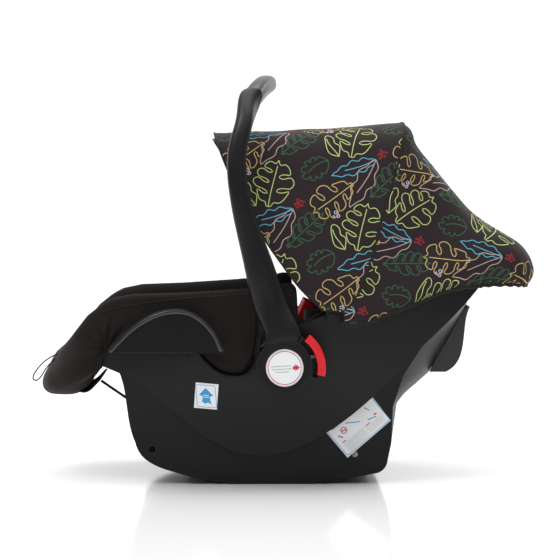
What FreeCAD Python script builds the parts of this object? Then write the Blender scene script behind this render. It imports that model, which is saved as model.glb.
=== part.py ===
"""Infant car seat (group 0+ carrier) with a turning carry handle and a folding canopy.

Frame: +X towards the head end, +Z up, the seat is symmetric about Y = 0, origin on the floor
under the middle of the seat. Millimetres. Each node is written to parts/NODE.step.
"""
import FreeCAD
import Part
import math
import os

V = FreeCAD.Vector
OUT = "parts"

# ---------------------------------------------------------------- driving dimensions
WALL = 4.0                  # moulded shell wall
FOOT_X = -322.0             # foot end of the shell
HEAD_X = 290.0              # head end of the shell
WIDE = 400.0                # more than the seat's width, for prisms cut right across
TOP_Z = 340.0               # above every rim

HUB = (-5.0, 164.0)         # handle pivot, X and Z
HUB_R = 38.0                # hub housing radius
HUB_IN_Y = 193.0            # inner face of the handle hub
HUB_OUT_Y = 219.0           # outer face of the handle hub
CANOPY = (59.0, 227.0)      # canopy pivot, X and Z
CLOTH = 3.0                 # canopy fabric with its lining

PAD = 12.0                  # padded cover on the walls
SEAT_PAD = 16.0             # padded seat and back
BAR_R = 4.0                 # steel latch bars for a base or a pushchair
FRONT_BAR = (-184.0, 47.0)
REAR_BAR = (92.0, 40.0)

# plan sections: z, foot corner x, foot end x, head corner x, head end x, half widths
# at the foot corner, at the middle and at the head corner
BODY_LEVELS = [
    (-8.0, -275.0, FOOT_X, 141.0, 150.0, 140.0, 144.0, 136.0),
    (60.0, -275.0, FOOT_X, 142.0, 151.0, 142.0, 147.0, 138.0),
    (105.0, -275.0, FOOT_X, 144.0, 158.0, 143.0, 151.0, 139.0),
    (147.0, -275.0, FOOT_X, 158.0, 207.0, 144.0, 160.0, 141.0),
    (191.0, -275.0, FOOT_X, 186.0, 233.0, 145.0, 167.0, 143.0),
    (242.0, -275.0, FOOT_X, 236.0, 255.0, 146.0, 169.0, 145.0),
    (TOP_Z, -275.0, FOOT_X, 284.0, 296.0, 147.0, 170.0, 146.0),
]
BULGE_LEVELS = [
    (20.0, -262.0, -300.0, 270.0, 294.0, 136.0, 150.0, 134.0),
    (100.0, -262.0, -300.0, 270.0, 294.0, 140.0, 160.0, 138.0),
    (160.0, -262.0, -300.0, 270.0, 294.0, 143.0, 177.0, 142.0),
    (230.0, -262.0, -300.0, 270.0, 294.0, 144.0, 185.0, 146.0),
    (TOP_Z, -262.0, -300.0, 270.0, 294.0, 144.0, 188.0, 148.0),
]

# side outlines, as X, Z points
RUNNER = [(-137, 11), (-107, 5), (-72, 1), (-45, 0)]
RUNNER_REAR = [(25, 0), (56, 2), (90, 8), (123, 14)]
FRONT_EDGE = [(-228, 151), (-223, 134), (-218, 101), (-207, 56)]
FRONT_CURL = [(-207, 56), (-195, 35), (-170, 21), (-137, 11)]
REAR_CURL = [(123, 14), (133, 21), (137, 32)]
BACK = [(152, 102), (158, 114), (183, 130), (214, 147), (243, 191), (264, 242), (HEAD_X + 4, 284)]
RIM = [(FOOT_X - 8, 162), (-298, 185), (-262, 220), (-234, 236), (-200, 244), (-120, 249), (-60, 252)]
RIM_DIP = [(-40, 252), (-30, 236), (2, 220), (24, 222), (50, 233)]
RIM_HEAD = [(50, 233), (150, 257), (220, 275), (HEAD_X + 4, 292)]
SWOOSH = [(-222, 150), (-143, 89), (-97, 56), (-58, 41), (-24, 40), (17, 52), (58, 74),
          (126, 130), (180, 186), (222, 226), (262, 270)]
FLOOR = [(-196, 124), (-150, 95), (-100, 60), (-50, 45), (-10, 44), (60, 62), (120, 92), (158, 118)]
BACK_INSIDE = [(157, 125), (177, 138), (199, 155), (226, 194), (248, 243), (273, 292)]
RECESS = [(-120, 179), (-106, 163), (-90, 153), (-71, 149), (-57, 152), (-45, 167), (-40, 188), (-38, 205)]


# ---------------------------------------------------------------- small helpers
def spline(points, y=0.0):
    """An edge through X, Z points in the plane at y."""
    vectors = [V(x, y, z) for x, z in points]
    if len(vectors) == 2:
        return Part.LineSegment(*vectors).toShape()
    curve = Part.BSplineCurve()
    curve.interpolate(vectors)
    return curve.toShape()


def joined(*runs):
    """Closed face in XZ: a list of points is one smooth curve, a tuple is straight edges."""
    edges = []
    last = runs[-1][-1]
    for run in runs:
        if math.dist(last, run[0]) > 1e-6:
            edges.append(spline([last, run[0]]))
        if isinstance(run, tuple):
            edges.extend(spline([a, b]) for a, b in zip(run, run[1:]))
        elif len(run) > 1:
            edges.append(spline(run))
        last = run[-1]
    return Part.Face(Part.Wire(edges))


def across(face, y0=-WIDE, y1=WIDE):
    """Prism of an XZ face from y0 to y1."""
    moved = face.copy()
    moved.translate(V(0, y0, 0))
    return moved.extrude(V(0, y1 - y0, 0))


def plan_wire(level, inset):
    """Plan section of four arcs at one level, taken in by inset."""
    z, foot_c, foot_e, head_c, head_e, w_foot, w_mid, w_head = level
    middle = (foot_c + head_c) / 2
    a = V(foot_c + inset, -(w_foot - inset), z)
    b = V(head_c - inset, -(w_head - inset), z)
    c = V(head_c - inset, w_head - inset, z)
    d = V(foot_c + inset, w_foot - inset, z)
    return Part.Wire([
        Part.Arc(a, V(middle, -(w_mid - inset), z), b).toShape(),
        Part.Arc(b, V(head_e - inset, 0, z), c).toShape(),
        Part.Arc(c, V(middle, w_mid - inset, z), d).toShape(),
        Part.Arc(d, V(foot_e + inset, 0, z), a).toShape(),
    ])


def body(inset=0.0):
    """Solid of the narrow body: skirts below, tub above."""
    return Part.makeLoft([plan_wire(level, inset) for level in BODY_LEVELS], True, True)


def bulge(inset=0.0):
    """Solid of the wider tub sides."""
    return Part.makeLoft([plan_wire(level, inset) for level in BULGE_LEVELS], True, True)


def shifted(points, dx=0.0, dz=0.0):
    return [(x + dx, z + dz) for x, z in points]


def moved(shape, dx, dz):
    copy = shape.copy()
    copy.translate(V(dx, 0, dz))
    return copy


def mirrored(shape):
    return shape.mirror(V(0, 0, 0), V(0, 1, 0))


def box(x0, x1, y0, y1, z0, z1):
    return Part.makeBox(x1 - x0, y1 - y0, z1 - z0, V(x0, y0, z0))


def rod(x, z, radius, y0, y1):
    return Part.makeCylinder(radius, y1 - y0, V(x, y0, z), V(0, 1, 0))


def solids_of(shape):
    """One shape holding only the solids worth keeping."""
    kept = [s for s in shape.Solids if s.Volume > 20]
    return kept[0] if len(kept) == 1 else Part.makeCompound(kept)


def export(name, shape):
    shape = solids_of(shape)
    if not shape.isValid():
        print("not valid:", name)
    shape.exportStep(os.path.join(OUT, name + ".step"))
    print(name, len(shape.Solids), round(shape.Volume / 1000, 1), "cm3")


def export_pair(name, right_side):
    """right_side is the piece at -Y, the side on the right hand of a child sitting in the seat."""
    export(name + "_right", right_side)
    export(name + "_left", mirrored(right_side))


# ---------------------------------------------------------------- shell
def full_outline():
    return joined(RUNNER, RUNNER_REAR, REAR_CURL, BACK, list(reversed(RIM_HEAD)),
                  list(reversed(RIM_DIP)), list(reversed(RIM)),
                  ((FOOT_X - 8, 151), (-300, 160), (-250, 160), (-228, 151)), FRONT_EDGE, FRONT_CURL)


def swoosh_outline():
    return joined(SWOOSH, list(reversed(RIM_HEAD)), list(reversed(RIM_DIP)), list(reversed(RIM)),
                  ((FOOT_X - 8, 151), (-250, 160)))


def recess_region(grow=0.0):
    """Side outline of the area where the cover lies over the wall instead of a bulge."""
    low = shifted(RECESS, grow / 2, -grow)
    return joined(((-400, 179 - grow), low[0]), low,
                  (low[-1], (-37 + grow, TOP_Z), (-400, TOP_Z)))


def cavity_face():
    """Inside of the tub, open at the top."""
    return joined(shifted(FLOOR, 0, WALL), BACK_INSIDE,
                  (BACK_INSIDE[-1], (280, TOP_Z), (-400, TOP_Z), (-400, 164), (-250, 164), (-232, 156)))


def side_cavity_face():
    """Inside of the bulged sides, up to the rim."""
    low = shifted(SWOOSH, -1, 8)
    return joined(low, (low[-1], (261, TOP_Z), (-223, TOP_Z)))


def under_face(lift):
    """The hollow between the skirts, bounded above by the tub floor."""
    front = [(-219, 138), (-213, 101), (-202, 57), (-190, 40), (-168, 26), (-137, 16)]
    if lift:
        low = (front[-1], (-107, 9), (-72, 5), (-45, 4), (25, 4), (56, 6), (90, 12), (116, 19))
    else:
        low = (front[-1], (-137, -20), (116, -20), (116, 19))
    return joined(list(reversed(FLOOR)), front, low, ((116, 19), (128, 26), (145, 102)))


def shell():
    inside = body(WALL).common(across(cavity_face()))
    inside_sides = bulge(WALL).common(across(side_cavity_face())).cut(across(recess_region(5.0)))
    under = body(WALL).common(across(under_face(True)))
    mouth = body(WALL + 12).common(across(under_face(False)))
    shape = outer_solid().cut(inside).cut(inside_sides).cut(under).cut(mouth)
    for x, z in (FRONT_BAR, REAR_BAR):
        shape = shape.cut(rod(x, z, BAR_R + 0.1, -WIDE, WIDE))
    shape = shape.cut(rod(HUB[0], HUB[1], 7.2, -WIDE, WIDE))
    shape = shape.cut(rod(CANOPY[0], CANOPY[1], 4.2, -WIDE, WIDE))
    for slot in harness_slots():
        shape = shape.cut(slot)
    return shape.removeSplitter()


# ---------------------------------------------------------------- harness
CROTCH_X = -28.0
SHOULDER_Y = 38.0
STRAP = 38.0
STRAP_T = 1.6
BUCKLE = (26.0, 222.0)
ADJUSTER = (-182.0, 121.0)
ADJUSTER_SLOPE = 33.0


def harness_slots():
    """Openings in the tub for the crotch strap, shoulder straps, lap straps and adjuster strap."""
    slots = [box(CROTCH_X - 6, CROTCH_X + 6, -23, 23, 20, 90)]
    slots.append(box(-194, -186, -14, 14, 110, 140))
    for side in (-1, 1):
        y = side * SHOULDER_Y
        slots.append(box(185, 285, y - 22, y + 22, 206, 214))
        y = side * 128
        slots.append(box(22, 52, y - 6, y + 6, 40, 90))
    return slots


def ribbon(points, width, thick, y=0.0):
    """Flat webbing: a run of X, Z points made thick, centred on y."""
    vectors = [V(x, 0, z) for x, z in points]
    sides = []
    for sign in (1, -1):
        run = []
        for i, p in enumerate(vectors):
            ahead = vectors[min(i + 1, len(vectors) - 1)]
            behind = vectors[max(i - 1, 0)]
            along = (ahead - behind).normalize()
            run.append((p.x - along.z * sign * thick / 2, p.z + along.x * sign * thick / 2))
        sides.append(run)
    return across(joined(sides[0], list(reversed(sides[1]))), y - width / 2, y + width / 2)


def slanted_ribbon(sections, width, thick):
    """Webbing whose middle wanders sideways: sections of middle point and width direction."""
    wires = []
    for i, (point, side) in enumerate(sections):
        ahead = sections[min(i + 1, len(sections) - 1)][0]
        behind = sections[max(i - 1, 0)][0]
        along = (ahead - behind).normalize()
        across_dir = (side - along * side.dot(along)).normalize()
        up = along.cross(across_dir)
        corners = [point + across_dir * a * width / 2 + up * b * thick / 2
                   for a, b in ((-1, -1), (1, -1), (1, 1), (-1, 1))]
        wires.append(Part.makePolygon(corners + corners[:1]))
    return Part.makeLoft(wires, True, False)


SHOULDER_RUN = [V(241, SHOULDER_Y, 211.5), V(222, SHOULDER_Y, 211),
                V(180, 42, 214), V(120, 44, 222), V(74, 34, 234), V(50, 24, 244)]
LAP_RUN = [V(37, 126, 50), V(36, 124, 90), V(35, 108, 140), V(36, 78, 192), V(37, 50, 222),
           V(38, 34, 232)]


def shoulder_strap():
    return slanted_ribbon([(p, V(0, 1, 0)) for p in SHOULDER_RUN], STRAP, STRAP_T)


def lap_strap():
    sides = [V(1, 0, 0)] * len(LAP_RUN)
    return slanted_ribbon(list(zip(LAP_RUN, sides)), 25, STRAP_T)


def shoulder_pad():
    run = [(p, V(0, 1, 0)) for p in (V(206, 40, 212.4), V(180, 42, 214), V(120, 44, 222), V(92, 38, 229.3))]
    return slanted_ribbon(run, 56, 13).cut(slanted_ribbon(run, STRAP + 4, 4))


def crotch_strap():
    run = [(CROTCH_X, 38), (CROTCH_X, 66), (-20, 110), (0, 160), (14, 196)]
    return ribbon(run, STRAP, STRAP_T)


def tilted(shape, angle=-25.0):
    """Turns a piece with the buckle's lean."""
    shape.rotate(V(BUCKLE[0], 0, BUCKLE[1]), V(0, 1, 0), -angle)
    return shape


def buckle_body():
    x, z = BUCKLE
    shell_ = box(x - 11, x + 11, -31, 31, z - 26, z + 22)
    shell_ = shell_.makeFillet(5, [e for e in shell_.Edges if abs(e.tangentAt(0).y) < 0.1])
    well = box(x + 1.4, x + 20, -13.4, 13.4, z - 13.4, z + 13.4)
    chamber = box(x - 6, x + 1.4, -20, 20, z - 6, z + 14)
    slot = box(x - 4, x + 1, -26, 26, z + 8, z + 30)
    foot = box(x - 3, x + 3, -21, 21, z - 40, z - 18)
    return tilted(shell_.cut(well).cut(chamber).cut(slot).cut(foot))


def buckle_button():
    x, z = BUCKLE
    cap = box(x + 6, x + 14, -13, 13, z - 13, z + 13)
    cap = cap.makeFillet(2.5, [e for e in cap.Edges if e.BoundBox.XMin > x + 13])
    return tilted(cap)


def buckle_spring():
    x, z = BUCKLE
    return tilted(coil(V(x + 1.8, 0, z), V(1, 0, 0), 5.0, 0.7, 3.6, 3))


def buckle_tongue():
    x, z = BUCKLE
    blade = box(x - 3, x + 0, 2, 24, z + 9, z + 34)
    eye = box(x - 4, x + 1, 6, 46, z + 23, z + 36)
    eye = eye.cut(box(x - 6, x + 3, 11, 41, z + 27, z + 31))
    return tilted(blade.fuse(eye))


def coil(start, axis, radius, wire, length, turns):
    """Compression spring."""
    helix = Part.makeHelix(length / turns, length, radius)
    ring = Part.Wire(Part.makeCircle(wire / 2, V(radius, 0, 0), V(0, 1, 0)))
    spring = Part.Wire(helix.Edges).makePipeShell([ring], True, False)
    spring.Placement = FreeCAD.Placement(start, FreeCAD.Rotation(V(0, 0, 1), axis))
    return spring


def on_slope(shape):
    """Lays a piece modelled at the adjuster's place down on the sloping tub floor."""
    shape.rotate(V(ADJUSTER[0], 0, ADJUSTER[1]), V(0, 1, 0), ADJUSTER_SLOPE)
    return shape


def adjuster_housing():
    x, z = ADJUSTER
    block = box(x - 20, x + 18, -19, 19, z + 0.8, z + 14)
    block = block.cut(box(x - 15, x + 15, -14, 14, z + 3.4, z + 30))
    block = block.cut(box(x - 12, x - 4, -12, 12, z - 5, z + 30))
    return on_slope(block.cut(rod(x + 9, z + 9, 2.06, -30, 30)))


def adjuster_lever():
    x, z = ADJUSTER
    plate = box(x - 13, x + 12, -12, 12, z + 10.5, z + 13.5)
    block = box(x + 5.5, x + 12, -12, 12, z + 6.5, z + 13.5)
    pin = rod(x + 9, z + 9, 2.0, -18, 18)
    return on_slope(plate.fuse(block).fuse(pin))


# ---------------------------------------------------------------- fittings on the shell
def outer_solid(inset=0.0):
    """The shell's outside, filled."""
    sides = bulge(inset).common(across(swoosh_outline())).cut(across(recess_region()))
    return body(inset).common(across(full_outline())).fuse(sides)


def belt_guide():
    wing = [(-243, 184), (-226, 202.5), (-209, 218), (-192, 229), (-172, 237.5), (-152, 240.5), (-132, 238),
            (-111.5, 226), (-94.5, 206), (-84.5, 186)]
    plate = across(joined(wing, [(-84.5, 181), (-243, 181)]), -189.5, -184.5)
    edge = across(joined(wing, list(reversed([(x * 0.94 - 9.9, z - 7) for x, z in wing]))), -191.5, -184.5)
    shelf = box(-238, -134, -189.5, -150, 176, 181.5)
    return plate.fuse(edge).fuse(shelf)


def rear_belt_hook():
    face = [(222, 146), (237, 158), (248, 200), (256, 237)]
    plate = across(joined(face, list(reversed(shifted(face, -5, 1)))), -64, 64)
    lid = box(236, 262, -64, 64, 229, 237)
    shape = plate.fuse(lid.common(across(joined(face, [(230, 237), (200, 146)]), -64, 64)))
    fill = across(joined(face, [(240, 237), (200, 146)]))
    for y0 in (-64, 59):
        shape = shape.fuse(fill.common(box(150, 300, y0, y0 + 5, 140, 250)))
    return shape


def latch_bar(place):
    return rod(place[0], place[1], BAR_R, -141, 141)


def hub_base():
    return rod(HUB[0], HUB[1], 34, -192.4, -150).cut(rod(HUB[0], HUB[1], 7.2, -200, -100))


def hub_bolt():
    x, z = HUB
    return rod(x, z, 7, -214, -165).fuse(rod(x, z, 12, -216.5, -213.2)).fuse(rod(x, z, 12, -170, -164))


def canopy_pivot():
    x, z = CANOPY
    pin = rod(x, z, 4, -190, -170)
    return pin.fuse(rod(x, z, 7, -190.4, -189.2)).fuse(rod(x, z, 8, -183.6, -176))


def label_patch(corners):
    """Thin sticker lying on the outside of the shell."""
    face = Part.Face(Part.makePolygon([V(x, 0, z) for x, z in corners + corners[:1]]))
    sticker = across(face, -WIDE, 0).common(outer_solid(-0.4)).cut(outer_solid())
    return max(sticker.Solids, key=lambda solid: solid.Volume)


# ---------------------------------------------------------------- handle
def ring(middle, along, depth, thick):
    """Rounded section across a bar: depth fore and aft, thick sideways."""
    fore = V(1, 0, 0) - along * along.x
    fore.normalize()
    side = along.cross(fore)
    points = []
    for i in range(12):
        a = math.tau * i / 12
        c = math.copysign(abs(math.cos(a)) ** 0.75, math.cos(a))
        s = math.copysign(abs(math.sin(a)) ** 0.75, math.sin(a))
        points.append(middle + fore * depth * c + side * thick * s)
    curve = Part.BSplineCurve()
    curve.interpolate(points, PeriodicFlag=True)
    return Part.Wire(curve.toShape())


# middle of the bar, half depth fore and aft, half thickness
ARM = [
    (V(-10, -206.5, 192), 30.0, 12.0),
    (V(-19, -205, 236), 22.5, 11.0),
    (V(-35, -204, 283), 20.5, 10.5),
    (V(-46, -203.5, 320), 17.5, 10.0),
    (V(-57.5, -203, 360), 15.0, 10.0),
    (V(-66, -202.5, 400), 13.5, 10.0),
    (V(-69, -200, 425), 13.0, 10.0),
    (V(-67, -194, 460), 12.5, 10.0),
    (V(-58, -181, 497), 12.0, 10.5),
    (V(-46, -155, 530), 12.0, 10.5),
]
BAR = [
    (V(-46, -155, 530), 12.0, 10.5),
    (V(-33, -100, 545), 12.0, 11.0),
    (V(-27, -40, 549), 12.5, 11.0),
    (V(-27, 40, 549), 12.5, 11.0),
    (V(-33, 100, 545), 12.0, 11.0),
    (V(-46, 155, 530), 12.0, 10.5),
]
CORNER = V(0.2, 0.72, 0.5).normalize()


def bar_loft(run, first, last):
    wires = []
    for i, (p, depth, thick) in enumerate(run):
        ahead = run[min(i + 1, len(run) - 1)][0]
        behind = run[max(i - 1, 0)][0]
        along = (ahead - behind).normalize()
        if i == 0:
            along = first
        if i == len(run) - 1:
            along = last
        wires.append(ring(p, along, depth, thick))
    return Part.makeLoft(wires, True, False)


def handle_arm():
    x, z = HUB
    arm = bar_loft(ARM, V(0, 0, 1), CORNER)
    hub = rod(x, z, HUB_R, -HUB_OUT_Y, -HUB_IN_Y).fuse(rear_lobe())
    shape = arm.fuse(hub)
    shape = shape.cut(rod(x, z, 7.06, -WIDE, 0))
    shape = shape.cut(rod(x, z, 13, -WIDE, -212.8))
    shape = shape.cut(button_sweep(43.0, 60.0, -219.4, -197.0, 0.4))
    return shape.cut(rod(x, z, 30, -194.0, -190)).cut(spring_pocket())


def wedge(r0, r1, a0, a1, y0, y1):
    """Ring sector about the handle pivot, angles in degrees from +X up."""
    x, z = HUB

    def at(r, a):
        return V(x + r * math.cos(math.radians(a)), y0, z + r * math.sin(math.radians(a)))

    middle = (a0 + a1) / 2
    wire = Part.Wire([
        Part.Arc(at(r1, a0), at(r1, middle), at(r1, a1)).toShape(),
        Part.LineSegment(at(r1, a1), at(r0, a1)).toShape(),
        Part.Arc(at(r0, a1), at(r0, middle), at(r0, a0)).toShape(),
        Part.LineSegment(at(r0, a0), at(r1, a0)).toShape(),
    ])
    return Part.Face(wire).extrude(V(0, y1 - y0, 0))


def rear_lobe():
    return wedge(20, 47, -22, 62, -HUB_OUT_Y, -HUB_IN_Y)


BUTTON_AIM = 20.0
BUTTON_TRAVEL = 5.0


def aim(length):
    a = math.radians(BUTTON_AIM)
    return V(length * math.cos(a), 0, length * math.sin(a))


def button_sweep(r0, r1, y0, y1, grow):
    """The room a release button needs over its whole travel."""
    block = wedge(r0, r1, -13 - grow, 53 + grow, y0, y1)
    inner = block.copy()
    inner.translate(aim(-BUTTON_TRAVEL - 0.8))
    return block.fuse(inner)


def release_button():
    cap = wedge(43.8, 55, -12.4, 52.4, -217.5, -198)
    return cap.makeFillet(2.0, [e for e in cap.Edges if e.BoundBox.YMax < -217 and e.Length > 20])


def spring_pocket():
    x, z = HUB
    start = V(x, -208, z) + aim(26)
    return Part.makeCylinder(4.2, 16, start, aim(1))


def button_spring():
    x, z = HUB
    return coil(V(x, -208, z) + aim(26.5), aim(1), 3.2, 0.9, 16.6, 6)


def hub_cap():
    x, z = HUB
    ring_ = rod(x, z, 34, -222.5, -HUB_OUT_Y - 0.7)
    return ring_.cut(rod(x, z, 25.4, -230, -200))


def hub_label():
    return rod(HUB[0], HUB[1], 25, -220.8, -HUB_OUT_Y - 0.4)


# ---------------------------------------------------------------- canopy
# angle about the canopy pivot, roof radius, half width at mid height and at the roof corner
HOOD_FRONT = [(124.0, 299.0, 172.0, 156.0), (68.6, 286.0, 172.0, 156.0)]
HOOD_REAR = [(68.2, 286.0, 172.0, 156.0), (52.0, 247.5, 172.0, 157.0), (38.0, 243.0, 173.0, 159.0),
             (24.6, 268.0, 175.0, 160.0)]
HOOD_SKIRT = [(24.0, 269.5, 175.0, 160.0), (15.0, 290.0, 176.0, 160.0), (8.0, 275.0, 175.0, 160.0)]
EYE_R = 16.0
FRONT_BOW = 122.9           # bow angles at rest
REAR_BOW = 69.7


def hood_points(level, inset):
    """Arch in a plane through the canopy pivot: radius and Y from the right hem to the left."""
    _, r, mid, corner = level
    run = [(EYE_R, 192.6), (0.3 * r, 186.6), (0.55 * r, mid + 2), (r - 60, corner + 2), (r - 15, corner - 18),
           (r - 2, 90.0)]
    shrunk = [(EYE_R - 2, 192.6 - inset), (0.3 * r, 186.6 - inset), (0.55 * r, mid + 2 - inset),
              (r - 60 - 0.3 * inset, corner + 2 - inset), (r - 15 - 0.7 * inset, corner - 18 - 0.7 * inset),
              (r - 2 - inset, 90.0)]
    run = shrunk if inset else run
    right = [(a, -b) for a, b in run]
    return right + [(r - inset, 0.0)] + [(a, b) for a, b in reversed(run)]


def hood_wire(level, inset):
    a = math.radians(level[0])
    x, z = CANOPY
    vectors = [V(x + r * math.cos(a), y, z + r * math.sin(a)) for r, y in hood_points(level, inset)]
    curve = Part.BSplineCurve()
    curve.interpolate(vectors)
    return Part.Wire([curve.toShape(), Part.LineSegment(vectors[-1], vectors[0]).toShape()])


def hood(levels, ruled, near=0.0, far=CLOTH):
    """Layer under the hood's outside, from one depth to another."""
    outside = Part.makeLoft([hood_wire(v, near) for v in levels], True, ruled)
    inside = Part.makeLoft([hood_wire(v, far) for v in levels], True, ruled)
    return outside.cut(inside)


def bow(angle, y_eye):
    """Flat plastic bow inside the fabric, tapering to an eye at each end."""
    x, z = CANOPY
    blade = joined(((0, 2.4), (20, 2.8), (60, 4.5), (320, 4.5), (320, -4.5), (60, -4.5), (20, -2.8), (0, -2.4)))
    blade.rotate(V(0, 0, 0), V(0, 1, 0), -angle)
    blade.translate(V(x, 0, z))
    strip = hood(HOOD_FRONT, True, CLOTH + 0.8, CLOTH + 3.8).common(across(blade)).cut(rod(x, z, 26, -WIDE, WIDE))
    for side in (-1, 1):
        y0 = min(side * y_eye, side * (y_eye + 2))
        tab = across(blade, y0, y0 + 2).common(rod(x, z, 40, -WIDE, WIDE))
        eye = rod(x, z, 9, y0, y0 + 2).fuse(tab).cut(rod(x, z, 4.06, -WIDE, WIDE))
        strip = strip.fuse(eye)
    return strip


def skirt():
    shape = hood(HOOD_SKIRT, False)
    hem = Part.makeLoft([hood_wire((8.0, 275.0, 175.0, 160.0), 0.0), hood_wire((6.6, 262.0, 174.0, 158.0), 0.0)],
                        True, True)
    return shape.fuse(hem.cut(bulge(-1.0)).cut(box(-400, 180, -WIDE, WIDE, 0, 400)))


# ---------------------------------------------------------------- soft goods
def drape_outline():
    low = [(-240, 183.5), (-124, 183.5)]
    top = [(-42.5, 262), (-56, 267), (-120, 263), (-160, 260), (-210, 258), (-240, 250)]
    return joined(low, [(-116, 179.5), (-104, 167), (-90, 157.5), (-71, 153.5), (-60, 156), (-49.5, 170),
                        (-44.5, 190), (-42.5, 205)], [(-42.5, 205), (-42.5, 262)], top)


def inner_outline():
    low = [(-240, 170), (-200, 160), (-150, 118), (-100, 84), (-42.5, 72)]
    top = [(-42.5, 262), (-56, 267), (-120, 263), (-160, 260), (-210, 258), (-240, 250)]
    return joined(low, top)


def cover_side():
    """Padded cover folded over the side wall: a thick inside, a thin outside, a roll on top."""
    inside = body(WALL + 0.4).cut(body(WALL + PAD)).common(across(inner_outline(), -WIDE, 0))
    outside = body(-3.6).cut(body(-0.4)).common(across(drape_outline(), -WIDE, 0))
    roll = body(-3.6).cut(body(WALL + PAD)).common(across(inner_outline(), -WIDE, 0))
    return inside.fuse(outside).fuse(roll.cut(moved(across(full_outline()), 0, 0.6)))


ROLL_LEVELS = [
    (112.0, -286.0, -322.0, -220.0, -200.0, 96.0, 110.0, 96.0),
    (126.0, -290.0, -339.0, -220.0, -200.0, 118.0, 130.0, 118.0),
    (142.0, -288.0, -343.0, -220.0, -200.0, 138.0, 150.0, 152.0),
    (165.0, -280.0, -337.0, -220.0, -200.0, 150.0, 158.0, 160.0),
    (190.0, -268.0, -319.0, -220.0, -200.0, 154.0, 160.0, 162.0),
    (225.0, -246.0, -280.0, -220.0, -200.0, 155.0, 161.0, 164.0),
    (252.0, -232.0, -250.0, -220.0, -200.0, 154.0, 160.0, 162.0),
]


def foot_roll():
    """Thick padded roll over the foot end, open below where the shell's lip sits in it."""
    roll = Part.makeLoft([plan_wire(level, 0) for level in ROLL_LEVELS], True, False)
    side = joined([(-246, 251), (-267, 235), (-324, 180), (-344, 141), (-338, 122), (-322, 111), (-304, 114),
                   (-288, 128), (-268, 136)], ((-268, 136), (-246, 151)))
    outer = outer_solid(-0.6)
    roll = roll.common(across(side)).cut(moved(outer, -0.6, 0.6)).cut(moved(outer, 0.4, -0.7))
    return max(roll.Solids, key=lambda solid: solid.Volume)


def cover_flap():
    return ribbon([(-290, 124.4), (-284, 121.5), (-276, 122), (-268, 128), (-259, 137.5)], 190, 3)


def elastic_strap():
    """One strand of the elastic from the cover's flap to the front of the shell."""
    return slanted_ribbon([(V(-262, -5, 128.5), V(0, 1, 0)), (V(-219.5, -5, 99.5), V(0, 1, 0))], 6, 2.4)


CORD_LOOP = [V(-316, -100, 174), V(-330, -104, 168), V(-343, -106, 155), V(-351, -106, 142), V(-346, -105, 136),
             V(-338, -103, 143), V(-331, -100, 157), V(-317, -96, 170)]
CORD_R = 0.9


def cord_loop():
    curve = Part.BSplineCurve()
    curve.interpolate(CORD_LOOP)
    path = Part.Wire(curve.toShape())
    start = CORD_LOOP[0]
    tangent = curve.tangent(curve.FirstParameter)[0]
    section = Part.Wire(Part.makeCircle(CORD_R, start, tangent))
    return path.makePipeShell([section], True, True)


def liner(inset):
    """The room inside the tub, a given distance in from its floor, back and sides."""
    return moved(across(cavity_face()), -0.85 * inset, inset).common(body(WALL + inset))


def seat_pad():
    pad = liner(0.8).cut(liner(SEAT_PAD)).common(box(-245, 146, -112, 112, 0, 182))
    pad = pad.cut(box(CROTCH_X - 8, CROTCH_X + 8, -23, 23, 0, 200))
    return pad.cut(box(-204, -158, -22, 22, 80, 200))


def back_pad():
    pad = liner(0.8).cut(liner(SEAT_PAD)).common(box(147, 300, -112, 112, 0, 290))
    for side in (-1, 1):
        y = side * SHOULDER_Y
        pad = pad.cut(box(150, 300, y - 22, y + 22, 205, 219))
    return pad


def head_pillow():
    """Soft ring round the head, open at the bottom."""
    top = [(214, 224), (246, 288), (222, 300), (170, 262), (176, 226)]
    wing = joined([top[0], top[1]], [top[1], top[2]], [top[2], (190, 288), top[3]], [top[3], top[4]],
                  [top[4], top[0]])
    return across(wing, 96, 120).common(liner(SEAT_PAD + 1.5))


def side_bolster():
    """Foam and cover inside the bulged wall beside the head."""
    low = [(-30, 190), (-16, 126), (42, 98), (120, 146), (176, 200), (226, 250), (258, 285)]
    top = [(262, 290), (220, 284), (150, 266), (52, 243), (24, 229)]
    wing = [(17, 228), (13, 250), (3, 279), (-10, 277), (-30, 266)]
    thick = bulge(WALL + 0.8).cut(bulge(WALL + PAD + 4)).common(across(joined(low, top, wing), -WIDE, -122))
    nut = rod(HUB[0], HUB[1], 13, -WIDE, 0).fuse(rod(CANOPY[0], CANOPY[1], 8, -WIDE, 0))
    return thick.cut(nut)


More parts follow.
